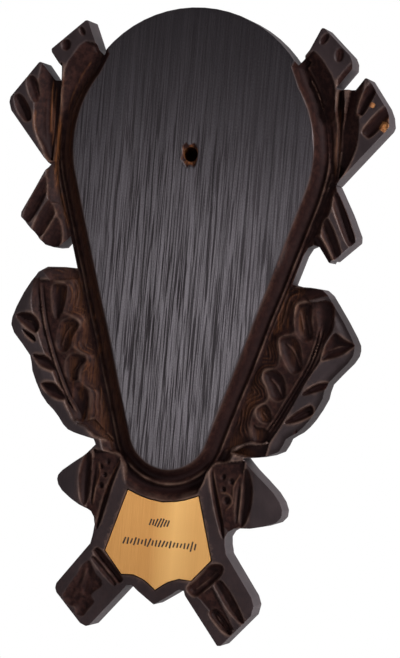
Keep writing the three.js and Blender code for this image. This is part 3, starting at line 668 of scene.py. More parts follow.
carveLeftStumps()
carveRightStumps()
carveLeaf(-1, leftLeaf)
carveLeaf(1, rightLeaf)
carveTipLeaf(-1, leftTip)
carveTipLeaf(1, rightTip)
carveLeftLeg()
carveRightLeg()
cutHollow(1, [[-5.4, -8.2], [-3.4, -6.2], [-1.8, -7.4], [0.6, -6.4], [2.8, -9.4], [2.9, -14.2],
              [1.6, -18.0], [-0.6, -17.2], [-2.0, -18.6], [-4.2, -16.0], [-5.6, -14.6], [-5.0, -11.0]], 0.8,
          0.0, 1.6, 80, 0.2)
holeOut = np.hypot(atX - hole["x"], atZ - hole["z"]) - hole["radius"]
holeWear = 0.8 * ramp(holeOut, 2.6, 0.4) * ramp(depth, 0.1, 0.5) * ramp(lumps(82, 0.9), -1.2, 0.5)
warm = np.maximum(warm, holeWear)
report("carving cut")

# Tool marks, softened arrises and the bed for the plate
# the slopes outside the small leaves are planed smooth and keep the flat's stain
planed = zone((np.abs(atX), 42.8, 43.8), (atZ, -190, -187), (atZ, -151, -154))
cutMask = ramp(depth, 0.12, 0.6) * (1 - planed)
cutMask = np.maximum(cutMask, ramp(out, -0.3, 0) * ramp(out, 2, 1) * ramp(depth, 0.01, 0.05))
depth += cutMask * lumps(91, 2.6) * 0.07 + ramp(bare, 0.1, 0.6) * (0.25 + 0.14 * lumps(92, 0.7))
rim = insideDistance(outline)
onLeaf = zone((atZ, -152, -147), (atZ, -72, -76), (np.abs(atX), 40, 48))
depth = np.maximum(depth, onLeaf * 0.9 * ramp(rim, 5.0, 0.2) * (1 + 0.3 * lumps(95, 6.0)))
depth = blur(depth, 0.22)
depth = np.maximum(depth, 0)
plateBed = insideDistance(plateOutline) + 0.4
depth = np.maximum(depth, 1.8 * ramp(plateBed, -0.15, 0.25))

broad = blur(depth, 0.8)
crest = np.clip((broad - depth - 0.07) / 0.36, 0, 1) * ramp(depth, 6.4, 4.6)
crest = crest * (0.25 + 0.75 * ramp(out, 0.8, 2.0))
crest = blur(np.maximum(crest, worn * ramp(lumps(93, 1.5), -1.2, 0.4)), 0.25)
# pooled stain and painted shade in hollows and creases: darker where the surface lies below its surroundings
hollowStainAndShade = np.clip((depth - blur(depth, 1.3) - 0.05) / 0.5, 0, 1)
hollowStainAndShade = np.maximum(hollowStainAndShade, np.clip((depth - blur(depth, 3.2) - 0.1) / 1.1, 0, 1) * ramp(out, 6, 8))
hollowStainAndShade *= 1 - 0.7 * ramp(atZ, -196, -202)         # the legs' hollows get less of the pooled stain and painted shade
ground = sideOfGround * ramp(atZ, -62, -70) * ramp(atZ, -158, -150) * ramp(depth, 3.6, 4.6)
warm = np.maximum(warm, 0.28 * ground * ramp(lumps(94, 3.0, 6.0), -1.2, 1.0))
# painted light: the left cove, in shade, brightened toward orange
leftCoveLight = zone((out, 0.6, 1.6), (out, 6.0, 4.8), (atX, -8, -14), (atZ, 34, 10), (atZ, -160, -140))
warm = np.maximum(warm, 0.16 * leftCoveLight)
# flecks of bare wood in the left leaf's hollows and on the ground above the right leaf
flecks = ramp(lumps(96, 0.45, 1.8), 0.1, 1.9)
leftInner = zone((atX, -30, -38), (atZ, -74, -80), (atZ, -146, -140), (out, 27, 21), (depth, 1.6, 2.4))
rightGround = zone((atX, 30, 36), (atZ, -60, -66), (atZ, -106, -88), (out, 7.5, 9), (out, 18, 14))
warm = np.maximum(warm, flecks * (0.34 * leftInner + 0.55 * rightGround))
# besides cuts, wear and stain, these hold painted shade in hollows and on the right leaf's margin, and painted
# light in the left cove
layers = {
    "cut": cutMask,
    "crest": crest,
    "hollowStainAndShade": hollowStainAndShade,
    "warm": warm,
    "bare": bare,
    "field": ramp(out, -0.25, -0.7) * (1 - cutMask),
    "edge": onLeaf * ramp(rim, 4.0, 0.4) * ramp(atX, 0, 10),     # painted shade on the margin of the right leaf
}


# A layer's values at any places, in straight lines between the grid's points
def sample(layer, x, z):
    column = np.clip((x - gridLow[0]) / step, 0, gridSize[0] - 1.001)
    row = np.clip((z - gridLow[1]) / step, 0, gridSize[1] - 1.001)
    i, j = column.astype(int), row.astype(int)
    u, v = column - i, row - j
    lower = layer[j, i] * (1 - u) + layer[j, i + 1] * u
    upper = layer[j + 1, i] * (1 - u) + layer[j + 1, i + 1] * u
    return lower * (1 - v) + upper * v


# The front surface: whole grid squares, and cut squares along the outline and the screw hole
def frontSurface(solid):
    inside = solid > 0
    number = np.full(atX.shape, -1)
    number[inside] = np.arange(inside.sum())
    points = np.column_stack([atX[inside], atZ[inside]]).tolist()
    crossings = {}

    def crossing(a, b):
        key = (a, b) if a < b else (b, a)
        if key not in crossings:
            sa, sb = solid[a], solid[b]
            t = min(max(sa / (sa - sb), 0.05), 0.95)
            crossings[key] = len(points)
            points.append([atX[a] + (atX[b] - atX[a]) * t, atZ[a] + (atZ[b] - atZ[a]) * t])
        return crossings[key]

    count = inside[:-1, :-1].astype(int) + inside[:-1, 1:] + inside[1:, 1:] + inside[1:, :-1]
    rows, columns = np.nonzero(count == 4)
    whole = np.column_stack([number[rows, columns], number[rows, columns + 1], number[rows + 1, columns + 1],
                             number[rows + 1, columns]])
    faces = whole.tolist()
    for row, column in np.argwhere((count > 0) & (count < 4)):
        corners = [(row, column), (row, column + 1), (row + 1, column + 1), (row + 1, column)]
        face = []
        for a, b in zip(corners, corners[1:] + corners[:1]):
            if inside[a]:
                face.append(int(number[a]))
            if inside[a] != inside[b]:
                face.append(crossing(a, b))
        faces.append(face)
    return np.array(points), faces


def addRing(work, flat, levels):
    return [work.verts.new((x, y, z)) for (x, z), y in zip(flat, levels)]


# A wall between two rings of as many corners each
def addWall(work, upper, lower):
    for k in range(len(upper)):
        n = (k + 1) % len(upper)
        work.faces.new((upper[k], upper[n], lower[n], lower[k]))


def edgesOf(work, ring):
    return [work.edges.get((ring[k], ring[(k + 1) % len(ring)])) for k in range(len(ring))]


# Screw hole: straight down to the countersink, and out along it to the back
def holeWall(flat, frontY):
    centre = np.array([hole["x"], hole["z"]])
    away = flat - centre
    away /= np.hypot(*away.T)[:, None]
    return [(centre + away * hole["radius"], frontY + board["edgeRound"]),
            (centre + away * hole["radius"], np.full(len(flat), -hole["headDepth"])),
            (centre + away * hole["headRadius"], np.zeros(len(flat)))]


# Outer wall: a softened arris, straight down, and a narrow bevel at the back
def outerWall(flat, frontY, slopeX, slopeZ):
    soft = board["edgeRound"]
    outwards = -np.column_stack([sample(slopeX, *flat.T), sample(slopeZ, *flat.T)])
    outwards /= np.maximum(np.hypot(*outwards.T), 1e-6)[:, None]
    return [(flat + outwards * soft * 0.7, frontY + soft * 0.3),
            (flat + outwards * soft, frontY + soft),
            (flat + outwards * soft, np.full(len(flat), -0.4)),
            (flat + outwards * soft * 0.4, np.zeros(len(flat)))]


# Blind hole for the wall nail; gives the edges of its mouth
def addNailHole(work):
    turns = [2 * math.pi * k / hanger["sides"] for k in range(hanger["sides"])]
    radius = hanger["radius"]
    around = [(hanger["x"] + radius * math.cos(turn), hanger["z"] + radius * math.sin(turn)) for turn in turns]
    mouth = addRing(work, around, [0] * len(turns))
    bottom = addRing(work, around, [-hanger["depth"]] * len(turns))
    addWall(work, mouth, bottom)
    work.faces.new(bottom)
    return edgesOf(work, mouth)


# Ends the work on a mesh and hands it over
def takeMesh(work, name):
    mesh = bpy.data.meshes.new(name)
    work.to_mesh(mesh)
    work.free()
    return mesh


# The same for a closed solid in millimetres: faces turned outwards, and metres
def takeSolid(work, name):
    bmesh.ops.recalc_face_normals(work, faces=work.faces)
    for vert in work.verts:
        vert.co *= mm
    return takeMesh(work, name)


def closedBoard():
    solid = np.minimum(rim - board["edgeRound"], holeOut - board["edgeRound"])
    points, faces = frontSurface(solid)
    y = -board["thickness"] + sample(depth, points[:, 0], points[:, 1])
    work = bmesh.new()
    verts = addRing(work, points, y)
    for face in faces:
        work.faces.new([verts[k] for k in face])
    slopeZ, slopeX = np.gradient(rim, step)
    openEdges = [e for e in work.edges if len(e.link_faces) == 1]
    follow = {}
    for edge in openEdges:
        loop = edge.link_loops[0]
        follow[loop.link_loop_next.vert] = loop.vert     # so that the wall's faces point outwards
    backEdges = []
    while follow:
        start = next(iter(follow))
        ring, here = [], start
        while here in follow:
            ring.append(here)
            here = follow.pop(here)
        if len(ring) < 3:
            continue
        flat = np.array([(v.co.x, v.co.z) for v in ring])
        frontY = np.array([v.co.y for v in ring])
        atHole = np.hypot(*(flat.mean(axis=0) - (hole["x"], hole["z"]))) < 2 and np.ptp(flat[:, 0]) < 12
        rows = holeWall(flat, frontY) if atHole else outerWall(flat, frontY, slopeX, slopeZ)
        previous = ring
        for place, levels in rows:
            current = addRing(work, place, levels)
            addWall(work, previous, current)
            previous = current
        backEdges += edgesOf(work, previous)
    backEdges += addNailHole(work)
    bmesh.ops.triangle_fill(work, use_beauty=True, use_dissolve=False, edges=backEdges)
    bmesh.ops.triangulate(work, faces=work.faces)
    return takeSolid(work, "carved_board_surface")


def addObject(name, mesh):
    piece = bpy.data.objects.new(name, mesh)
    bpy.context.scene.collection.objects.link(piece)
    return piece


# Replaces a piece's mesh by what its modifiers make of it
def settle(piece):
    graph = bpy.context.evaluated_depsgraph_get()
    made = bpy.data.meshes.new_from_object(piece.evaluated_get(graph))
    piece.modifiers.clear()
    piece.data = made
    return piece


def smoothShading(piece, degrees):
    for face in piece.data.polygons:
        face.use_smooth = True
    piece.data.set_sharp_from_angle(angle=math.radians(degrees))
    modifier = piece.modifiers.new("evenNormals", "WEIGHTED_NORMAL")
    modifier.keep_sharp = True
    modifier.weight = 80
    settle(piece)


carvedBoard = addObject("carved_board_surface", closedBoard())
full = len(carvedBoard.data.polygons)
thin = carvedBoard.modifiers.new("thin", "DECIMATE")
thin.ratio = min(1.0, board["triangles"] / full)
settle(carvedBoard)
corners = np.empty((len(carvedBoard.data.vertices), 3), np.float32)
carvedBoard.data.vertices.foreach_get("co", corners.ravel())
corners[:, 1] = np.clip(corners[:, 1], -board["thickness"] * mm, 0)     # thinning can push one out
carvedBoard.data.vertices.foreach_set("co", corners.ravel())
report(f"board surface made, {full} triangles thinned to {len(carvedBoard.data.polygons)}")


# Each face takes the layers at its corners; a wide flat one takes them at its middle, so that
# wear on an arris doesn't spread over the flat beside it.
def storeLayers(piece):
    coords = np.empty(len(piece.data.vertices) * 3)
    piece.data.vertices.foreach_get("co", coords)
    corners = np.empty(len(piece.data.loops), int)
    piece.data.loops.foreach_get("vertex_index", corners)
    faces = coords.reshape(-1, 3)[corners].reshape(-1, 3, 3) / mm
    middle = np.repeat(faces.mean(axis=1, keepdims=True), 3, axis=1).reshape(-1, 3)
    width = np.linalg.norm(faces - np.roll(faces, 1, axis=1), axis=2).max(axis=1)
    fineness = np.repeat(ramp(width, 2.0, 1.0), 3)
    coords = faces.reshape(-1, 3)
    front = middle[:, 1] < -board["thickness"] + sample(depth, middle[:, 0], middle[:, 2]) + 0.6
    inHole = ~front & (np.hypot(middle[:, 0] - hole["x"], middle[:, 2] - hole["z"]) < hole["radius"] + 0.1)
    inHole &= middle[:, 1] < -hole["headDepth"]
    for name, layer in layers.items():
        values = sample(layer, coords[:, 0], coords[:, 2]) * fineness
        values += sample(layer, middle[:, 0], middle[:, 2]) * (1 - fineness)
        values = values * (front | (name == "edge")) + inHole * {"cut": 1.0, "warm": 0.9}.get(name, 0)
        attribute = piece.data.attributes.new(name, "FLOAT", "CORNER")
        attribute.data.foreach_set("value", values.astype(np.float32))


storeLayers(carvedBoard)
smoothShading(carvedBoard, board["hardAngle"])
# the stored layers hold wear and stain, and painted shade and painted light
report("wear and stain layers stored")


# Materials
def newMaterial(name):
    material = bpy.data.materials.new(name)
    material.use_nodes = True
    tree = material.node_tree
    tree.nodes.clear()
    end = tree.nodes.new("ShaderNodeOutputMaterial")
    shader = tree.nodes.new("ShaderNodeBsdfPrincipled")
    tree.links.new(shader.outputs["BSDF"], end.inputs["Surface"])
    return material, tree, shader


def put(tree, kind, links=None, values=None, **settings):
    made = tree.nodes.new(kind)
    for key, value in settings.items():
        setattr(made, key, value)
    for key, value in (values or {}).items():
        made.inputs[key].default_value = value
    for key, source in (links or {}).items():
        tree.links.new(source, made.inputs[key])
    return made


def stretchedNoise(tree, place, scale, detail, roughness):
    start = 0.13 * len(tree.nodes)       # each noise starts at a place of its own
    mapped = put(tree, "ShaderNodeMapping", {"Vector": place}, {"Scale": scale, "Location": (start,) * 3})
    noise = put(tree, "ShaderNodeTexNoise", {"Vector": mapped.outputs[0]},
                {"Scale": 1.0, "Detail": detail, "Roughness": roughness})
    return noise.outputs["Fac"]


# Takes the range low to high to the range toLow to toHigh, and holds the ends
def remap(tree, source, low, high, toLow=0.0, toHigh=1.0):
    made = put(tree, "ShaderNodeMapRange", {"Value": source},
               {"From Min": low, "From Max": high, "To Min": toLow, "To Max": toHigh})
    return made.outputs[0]


def calculate(tree, operation, a, b, clamp=False):
    made = put(tree, "ShaderNodeMath", operation=operation, use_clamp=clamp)
    for socket, value in zip(made.inputs, (a, b)):
        if isinstance(value, (int, float)):
            socket.default_value = value
        else:
            tree.links.new(value, socket)
    return made.outputs[0]


def times(tree, a, b, clamp=False):
    return calculate(tree, "MULTIPLY", a, b, clamp)


def plus(tree, a, b):
    return calculate(tree, "ADD", a, b)


def blend(tree, share, a, b):
    made = put(tree, "ShaderNodeMix", data_type="RGBA")
    tree.links.new(share, made.inputs["Factor"])
    for socket, value in ((made.inputs[6], a), (made.inputs[7], b)):
        if isinstance(value, tuple):
            socket.default_value = (*value, 1)
        else:
            tree.links.new(value, socket)
    return made.outputs[2]


oak = {
    "field": (0.0045, 0.0036, 0.0047),
    "fieldPale": (0.0165, 0.0142, 0.0182),
    "flat": (0.0118, 0.0070, 0.0076),
    "flatPale": (0.022, 0.0142, 0.0152),
    "cutDark": (0.0105, 0.0040, 0.0036),
    "cutBrown": (0.029, 0.0115, 0.0090),
    # pooled stain and painted shade in the hollows
    "cutStainAndShade": (0.0100, 0.0038, 0.0036),
    "worn": (0.120, 0.074, 0.056),
    "orange": (0.13, 0.048, 0.016),
    "fresh": (0.43, 0.195, 0.072),
    "pore": (0.005, 0.0035, 0.0045),
    # painted shade on the right leaf's margin
    "edge": (0.0072, 0.0046, 0.0046),
}


def stainedOak():
    material, tree, shader = newMaterial("stained_oak_finish")
    place = put(tree, "ShaderNodeTexCoord").outputs["Object"]
    layer = {name: put(tree, "ShaderNodeAttribute", attribute_name=name).outputs["Fac"] for name in layers}
    up = put(tree, "ShaderNodeSeparateXYZ", {0: place}).outputs["Z"]
    onField = layer["field"]
    grain = stretchedNoise(tree, place, (1500, 1500, 9), 2.0, 0.6)
    streak = stretchedNoise(tree, place, (2100, 2100, 38), 1.0, 0.4)
    figure = stretchedNoise(tree, place, (120, 120, 6), 2.0, 0.5)
    fine = stretchedNoise(tree, place, (2600, 2600, 110), 2.0, 0.6)
    mottle = stretchedNoise(tree, place, (420, 420, 420), 4.0, 0.6)
    patches = stretchedNoise(tree, place, (110, 110, 90), 3.0, 0.55)
    specks = stretchedNoise(tree, place, (2300, 2300, 1100), 1.0, 0.5)
    # the pores stand in wavering rows about two millimetres apart
    drift = stretchedNoise(tree, place, (260, 260, 12), 1.0, 0.5)
    across = put(tree, "ShaderNodeSeparateXYZ", {0: place}).outputs["X"]
    phase = plus(tree, times(tree, across, 3500), times(tree, drift, 16))
    inRows = plus(tree, streak, times(tree, calculate(tree, "SINE", phase, 0), 0.04))
    pores = times(tree, remap(tree, inRows, 0.468, 0.402), remap(tree, up, 0.058, -0.01, 0.28, 1.0))
    # fainter on the right
    pores = times(tree, pores, remap(tree, across, 0.0, 0.035, 1.0, 0.55))
    pores = times(tree, pores, remap(tree, onField, 0, 1, 0.12, 1.0))
    lift = plus(tree, remap(tree, grain, 0.38, 0.64), remap(tree, figure, 0.35, 0.65, 0, 0.6))
    lift = plus(tree, lift, remap(tree, fine, 0.35, 0.7, 0, 0.5))
    # painted shade: the field's colour darker towards the top
    lift = times(tree, lift, remap(tree, up, 0.055, -0.05, 0.2, 1.0))
    smooth = blend(tree, remap(tree, lift, 0.3, 1.6), oak["field"], oak["fieldPale"])
    flat = blend(tree, remap(tree, patches, 0.35, 0.65), oak["flat"], oak["flatPale"])
    flat = blend(tree, onField, flat, smooth)
    flat = blend(tree, times(tree, pores, 0.65), flat, oak["pore"])
    carved = blend(tree, remap(tree, mottle, 0.42, 0.66), oak["cutDark"], oak["cutBrown"])
    # pooled stain and painted shade darken the hollows
    carved = blend(tree, times(tree, layer["hollowStainAndShade"], 0.95, True), carved, oak["cutStainAndShade"])
    # painted shade: the right leaf's margin darkened
    flat = blend(tree, times(tree, layer["edge"], 0.8), flat, oak["edge"])
    colour = blend(tree, layer["cut"], flat, carved)
    wornShare = times(tree, layer["crest"], remap(tree, patches, 0.40, 0.60, 0.15, 0.85), True)
    colour = blend(tree, wornShare, colour, oak["worn"])
    # orange wear, and painted light in the left cove
    warmShare = times(tree, layer["warm"], remap(tree, streak, 0.38, 0.60, 0.2, 1.0), True)
    colour = blend(tree, warmShare, colour, oak["orange"])
    fresh = blend(tree, remap(tree, mottle, 0.35, 0.65), oak["fresh"], oak["orange"])
    ragged = plus(tree, layer["bare"], remap(tree, mottle, 0.3, 0.7, -0.25, 0.25))
    colour = blend(tree, remap(tree, ragged, 0.35, 0.6), colour, fresh)
    tree.links.new(colour, shader.inputs["Base Color"])
    polish = plus(tree, remap(tree, onField, 0, 1, 0.50, 0.28), times(tree, pores, 0.25))
    rough = plus(tree, polish, times(tree, layer["cut"], 0.10))
    tree.links.new(rough, shader.inputs["Roughness"])
    ripple = times(tree, plus(tree, grain, fine), remap(tree, onField, 0, 1, 0.06, 0.25))
    height = calculate(tree, "SUBTRACT", ripple, times(tree, pores, 0.6))
    torn = times(tree, mottle, times(tree, layer["cut"], 0.6))
    height = plus(tree, height, torn)
    bump = put(tree, "ShaderNodeBump", {"Height": height}, {"Strength": 0.5, "Distance": 0.00016})
    tree.links.new(bump.outputs[0], shader.inputs["Normal"])
    gloss = plus(tree, remap(tree, onField, 0, 1, 0.34, 0.9), times(tree, layer["cut"], -0.25))
    dull = plus(tree, remap(tree, grain, 0.34, 0.66, -0.20, 0.16), remap(tree, specks, 0.3, 0.7, -0.16, 0.16))
    sheen = plus(tree, 1.0, times(tree, onField, dull))
    shine = times(tree, calculate(tree, "SUBTRACT", 1.0, times(tree, pores, 0.52)), sheen)
    gloss = times(tree, gloss, times(tree, shine, remap(tree, up, 0.055, -0.03, 0.7, 1.0)))
    gloss = times(tree, gloss, remap(tree, layer["edge"], 0, 1, 1.0, 0.35))
    tree.links.new(gloss, shader.inputs["Specular IOR Level"])
    shader.inputs["Specular Tint"].default_value = (1.0, 0.93, 0.98, 1)
    return material


oakFinish = stainedOak()
carvedBoard.data.materials.clear()
carvedBoard.data.materials.append(oakFinish)
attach(carvedBoard, "root")
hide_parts(board["node"])
report("board stained")

# The brass plate: softly bevelled, with two rows of shallow engraved strokes that spell nothing
plate = {
    "name": "brass_engraving_plate",
    "front": -19.5,
    "back": -18.5,
    "bevel": 0.22,
    "rows": [{"centre": (-0.6, -187.0), "width": 8.6, "count": 7, "height": 5.0},
             {"centre": (0.4, -196.8), "width": 34.5, "count": 21, "height": 4.6}],
    "strokeWidth": 0.78,
    "strokeHeights": (0.45, 1.1),      # least and greatest, as shares of a row's height
    "lean": 14,                        # degrees
    "leans": (0.4, 1.6),               # least and greatest, as shares of the lean
    "engraved": 0.16,
    "bevelSteps": 2,
    "bevelFrom": 50,                   # degrees, above which an edge is bevelled
    "hardAngle": 30,
}


def plateBlank():
    work = bmesh.new()
    loop = plateOutline
    area = 0.5 * sum(x0 * z1 - x1 * z0 for (x0, z0), (x1, z1) in zip(loop, np.roll(loop, -1, axis=0)))
    if area < 0:
        loop = loop[::-1]
    front = [work.verts.new((x, plate["front"], z)) for x, z in loop]
    back = [work.verts.new((x, plate["back"], z)) for x, z in loop]
    work.faces.new(front)
    work.faces.new(back[::-1])
    for k in range(len(loop)):
        n = (k + 1) % len(loop)
        work.faces.new((front[n], front[k], back[k], back[n]))
    return takeSolid(work, plate["name"])


strokeInputs = {
    "Centre": "NodeSocketVector",
    "Row Width": "NodeSocketFloat",
    "Strokes": "NodeSocketInt",
    "Stroke Height": "NodeSocketFloat",
    "Stroke Width": "NodeSocketFloat",
    "Stroke Depth": "NodeSocketFloat",
    "Lean": "NodeSocketFloat",
    "Seed": "NodeSocketInt",
}


def randomBetween(tree, seed, ends):
    made = put(tree, "FunctionNodeRandomValue", {"Seed": seed}, {2: ends[0], 3: ends[1]}, data_type="FLOAT")
    return made.outputs[1]


def vector(tree, links, values=None):
    return put(tree, "ShaderNodeCombineXYZ", links, values).outputs[0]


# Geometry Nodes: one row of leaning strokes along a line, each a small block with a height of its own
def strokeTree(material):
    tree = bpy.data.node_groups.new("engravedStrokes", "GeometryNodeTree")
    tree.interface.new_socket("Geometry", in_out="OUTPUT", socket_type="NodeSocketGeometry")
    sockets = {}
    for name, kind in strokeInputs.items():
        sockets[name] = tree.interface.new_socket(name, in_out="INPUT", socket_type=kind).identifier
    given = put(tree, "NodeGroupInput").outputs
    end = put(tree, "NodeGroupOutput")
    half = times(tree, given["Row Width"], 0.5)
    toFirst = vector(tree, {"X": times(tree, half, -1.0)})
    toLast = vector(tree, {"X": half})
    first = put(tree, "ShaderNodeVectorMath", {0: given["Centre"], 1: toFirst}, operation="ADD")
    last = put(tree, "ShaderNodeVectorMath", {0: given["Centre"], 1: toLast}, operation="ADD")
    ends = {"Start Location": first.outputs[0], "Offset": last.outputs[0]}
    line = put(tree, "GeometryNodeMeshLine", {"Count": given["Strokes"], **ends}, mode="END_POINTS")
    size = {"X": given["Stroke Width"], "Y": given["Stroke Depth"], "Z": given["Stroke Height"]}
    block = put(tree, "GeometryNodeMeshCube", {"Size": vector(tree, size)})
    lean = randomBetween(tree, given["Seed"], plate["leans"])
    rotation = vector(tree, {"Y": times(tree, lean, given["Lean"])})
    tall = randomBetween(tree, plus(tree, given["Seed"], 7.0), plate["strokeHeights"])
    scale = vector(tree, {"Z": tall}, {"X": 1.0, "Y": 1.0})
    placed = {"Points": line.outputs[0], "Instance": block.outputs[0], "Rotation": rotation, "Scale": scale}
    copies = put(tree, "GeometryNodeInstanceOnPoints", placed)
    real = put(tree, "GeometryNodeRealizeInstances", {"Geometry": copies.outputs[0]})
    coloured = put(tree, "GeometryNodeSetMaterial", {"Geometry": real.outputs[0]}, {"Material": material})
    tree.links.new(coloured.outputs[0], end.inputs[0])
    return tree, sockets


brass = {
    "dark": (0.63, 0.312, 0.094),
    "light": (0.745, 0.392, 0.130),
    "cloud": (0.545, 0.262, 0.076),
    "highlightBand": (0.93, 0.565, 0.203),      # painted highlight: the bright band down the middle
    "enamelDark": (0.020, 0.012, 0.008),
    "enamelLight": (0.055, 0.032, 0.018),
}


def brassFinish():
    material, tree, shader = newMaterial("satin_brass_finish")
    place = put(tree, "ShaderNodeTexCoord").outputs["Object"]
    brush = stretchedNoise(tree, place, (5200, 900, 60), 3.0, 0.6)
    cloud = stretchedNoise(tree, place, (60, 60, 30), 2.0, 0.5)
    colour = blend(tree, remap(tree, brush, 0.35, 0.65), brass["dark"], brass["light"])
    colour = blend(tree, remap(tree, cloud, 0.3, 0.75, 0, 0.35), colour, brass["cloud"])
    # painted highlight: a bright band mixed into the colour down the middle
    across = put(tree, "ShaderNodeSeparateXYZ", {0: place}).outputs["X"]
    rise = remap(tree, across, -0.004, 0.007)
    fall = remap(tree, across, 0.017, 0.007, 0.4, 1.0)
    colour = blend(tree, times(tree, times(tree, rise, fall), 0.8), colour, brass["highlightBand"])
    tree.links.new(colour, shader.inputs["Base Color"])
    tree.links.new(remap(tree, brush, 0.3, 0.7, 0.34, 0.44), shader.inputs["Roughness"])
    bump = put(tree, "ShaderNodeBump", {"Height": brush}, {"Strength": 0.12, "Distance": 0.00002})
    tree.links.new(bump.outputs[0], shader.inputs["Normal"])
    shader.inputs["Metallic"].default_value = 1.0
    return material


def enamelFinish():
    material, tree, shader = newMaterial("engraving_black")
    place = put(tree, "ShaderNodeTexCoord").outputs["Object"]
    grit = stretchedNoise(tree, place, (2600, 2600, 2600), 2.0, 0.5)
    colour = blend(tree, remap(tree, grit, 0.4, 0.7), brass["enamelDark"], brass["enamelLight"])
    tree.links.new(colour, shader.inputs["Base Color"])
    tree.links.new(remap(tree, grit, 0.3, 0.7, 0.5, 0.7), shader.inputs["Roughness"])
    return material


brassMaterial = brassFinish()
enamelMaterial = enamelFinish()


def strokeMeshes():
    tree, sockets = strokeTree(enamelMaterial)
    made = []
    for seed, row in enumerate(plate["rows"]):
        holder = addObject(f"strokeRow{seed}", bpy.data.meshes.new(f"strokeRow{seed}"))
        modifier = holder.modifiers.new("strokes", "NODES")
        modifier.node_group = tree
        x, z = row["centre"]
        values = {
            "Centre": (x * mm, plate["front"] * mm, z * mm),
            "Row Width": row["width"] * mm,
            "Strokes": row["count"],
            "Stroke Height": row["height"] * mm,
            "Stroke Width": plate["strokeWidth"] * mm,
            "Stroke Depth": 2 * plate["engraved"] * mm,
            "Lean": math.radians(plate["lean"]),
            "Seed": 11 + seed,
        }
        for name, value in values.items():
            modifier[sockets[name]] = value
        made.append(settle(holder))
    return made


brassPlate = addObject(plate["name"], plateBlank())
edge = brassPlate.modifiers.new("edge", "BEVEL")
edge.width = plate["bevel"] * mm
edge.segments = plate["bevelSteps"]
edge.limit_method = "ANGLE"
edge.angle_limit = math.radians(plate["bevelFrom"])
settle(brassPlate)
brassPlate.data.materials.clear()
brassPlate.data.materials.append(brassMaterial)
rows = strokeMeshes()
for cutter in rows:
    groove = brassPlate.modifiers.new("groove", "BOOLEAN")
    groove.object = cutter
    groove.solver = "EXACT"
    groove.material_mode = "TRANSFER"
settle(brassPlate)
for cutter in rows:
    bpy.data.objects.remove(cutter)
smoothShading(brassPlate, plate["hardAngle"])
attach(brassPlate, "root")
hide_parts("engraving_plate")
report(f"plate made with {len(brassPlate.data.polygons)} faces")

# Camera at the photograph's angle
shot = {
    "target": (0.0111, -0.0200, -0.0940),
    "azimuth": 12.25,
    "elevation": 0.0,
    "roll": 4.9,
    "distance": 1.8,
    "lens": 208.5,       # millimetres, as is the sensor
    "sensor": 36,
    "reach": 20,
}


def addCamera():
    camera = bpy.data.cameras.new("camera")
    camera.lens = shot["lens"]
    camera.sensor_width = shot["sensor"]
    camera.clip_end = shot["reach"]
    holder = bpy.data.objects.new("camera", camera)
    bpy.context.scene.collection.objects.link(holder)
    azimuth = math.radians(shot["azimuth"])
    elevation = math.radians(shot["elevation"])
    forward = math.cos(elevation)
    away = Vector((math.sin(azimuth) * forward, -math.cos(azimuth) * forward, math.sin(elevation)))
    sideways = (-away).cross(Vector((0, 0, 1))).normalized()
    upright = sideways.cross(-away).normalized()
    roll = math.radians(shot["roll"])
    up = upright * math.cos(roll) - sideways * math.sin(roll)
    right = (-away).cross(up).normalized()
    place = Vector(shot["target"]) + away * shot["distance"]
    holder.matrix_world = Matrix.Translation(place) @ Matrix((right, up, away)).transposed().to_4x4()
    bpy.context.scene.camera = holder


def addPanel(name, place, aim, size, power, colour=(1, 1, 1)):
    light = bpy.data.lights.new(name, "AREA")
    light.shape = "RECTANGLE"
    light.size, light.size_y = size
    light.energy = power
    light.color = colour
    holder = bpy.data.objects.new(name, light)
    bpy.context.scene.collection.objects.link(holder)
    toward = Vector(aim) - Vector(place)
    holder.location = place
    holder.rotation_mode = "QUATERNION"
    holder.rotation_quaternion = toward.to_track_quat("-Z", "Y")


room = {"front": 0.15, "behind": 0.62}      # how bright the white room is before and behind the board


def addWorld():
    world = bpy.data.worlds.new("paleRoom")
    bpy.context.scene.world = world
    world.use_nodes = True
    tree = world.node_tree
    tree.nodes.clear()
    seen = put(tree, "ShaderNodeBackground", None, {"Color": (1, 1, 1, 1), "Strength": 1.0})
    place = put(tree, "ShaderNodeTexCoord").outputs["Generated"]
    toward = put(tree, "ShaderNodeSeparateXYZ", {0: place})
    glow = remap(tree, toward.outputs["Y"], 0.05, 0.6, room["front"], room["behind"])
    lit = put(tree, "ShaderNodeBackground", {"Strength": glow}, {"Color": (1.0, 0.94, 0.98, 1)})
    ray = put(tree, "ShaderNodeLightPath")
    mixed = put(tree, "ShaderNodeMixShader",
                {0: ray.outputs["Is Camera Ray"], 1: lit.outputs[0], 2: seen.outputs[0]})
    put(tree, "ShaderNodeOutputWorld", {"Surface": mixed.outputs[0]})


def addDisc(name, segments, radius, place, turn=0):
    work = bmesh.new()
    bmesh.ops.create_circle(work, cap_ends=True, segments=segments, radius=radius)
    bmesh.ops.rotate(work, verts=work.verts, matrix=Matrix.Rotation(math.radians(turn), 3, "X"))
    bmesh.ops.translate(work, verts=work.verts, vec=place)
    return addObject(name, takeMesh(work, name))
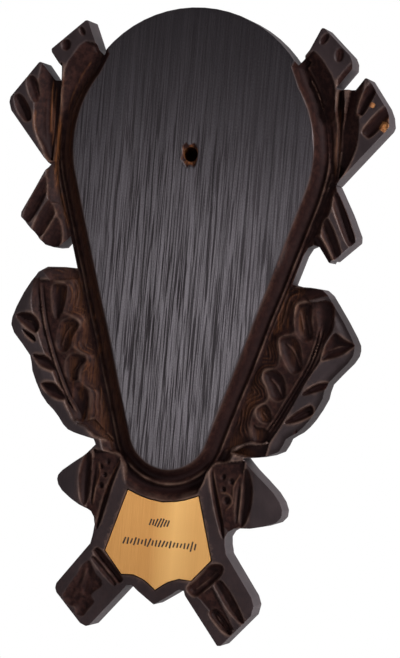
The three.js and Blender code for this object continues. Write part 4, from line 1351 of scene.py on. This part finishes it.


# The wall that the board hangs on, where it shows through the screw hole, coloured dark as painted shade;
# clear from behind
def addHoleBacking():
    place = (hole["x"] * mm, -0.2 * mm, hole["z"] * mm)
    backing = addDisc("wallInHole", 40, (hole["headRadius"] - 0.3) * mm, place, 90)
    material, tree, shader = newMaterial("wallInShade")
    # painted shade: the wall is coloured dark brown, as it lies deep in the hole's shade
    shader.inputs["Base Color"].default_value = (0.06, 0.03, 0.015, 1)
    shader.inputs["Roughness"].default_value = 0.9
    clear = put(tree, "ShaderNodeBsdfTransparent")
    behind = put(tree, "ShaderNodeNewGeometry").outputs["Backfacing"]
    seen = put(tree, "ShaderNodeLightPath").outputs["Is Camera Ray"]
    share = times(tree, behind, seen)
    mixed = put(tree, "ShaderNodeMixShader", {0: share, 1: shader.outputs[0], 2: clear.outputs[0]})
    end = next(n for n in tree.nodes if n.type == "OUTPUT_MATERIAL")
    tree.links.new(mixed.outputs[0], end.inputs["Surface"])
    backing.data.materials.append(material)
    backing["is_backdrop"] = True


def addFloor():
    floor = addDisc("paleFloor", 96, 2.4, (0, 0, -0.62))
    material, tree, shader = newMaterial("floorPaper")
    shader.inputs["Base Color"].default_value = (0.86, 0.86, 0.86, 1)
    shader.inputs["Roughness"].default_value = 0.9
    shader.inputs["Emission Color"].default_value = (1, 1, 1, 1)
    seen = put(tree, "ShaderNodeLightPath").outputs["Is Camera Ray"]
    tree.links.new(times(tree, seen, 0.5), shader.inputs["Emission Strength"])
    floor.data.materials.append(material)
    floor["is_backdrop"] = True


addCamera()
addPanel("keyRight", (1.35, -0.75, 0.60), (0.02, 0, -0.08), (0.35, 0.45), 38, (1.0, 0.95, 0.93))
addPanel("sheen", (-0.138, -0.70, -0.11), (0, 0, -0.10), (0.10, 0.20), 0.375, (0.98, 0.97, 1.0))
addPanel("rimRight", (1.2, 0.45, -0.50), (0.05, 0, -0.05), (0.5, 0.5), 16)
addPanel("fillLeft", (-1.2, -0.9, 0.2), (0, 0, -0.08), (0.7, 0.9), 1.7, (1.0, 0.95, 0.93))
addHoleBacking()
addWorld()
addFloor()
bpy.context.scene.view_settings.view_transform = "Standard"
report("camera and lights placed")

low2, high2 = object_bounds()
report(f"visual box {[round(v / mm, 2) for v in low2]} to {[round(v / mm, 2) for v in high2]}")
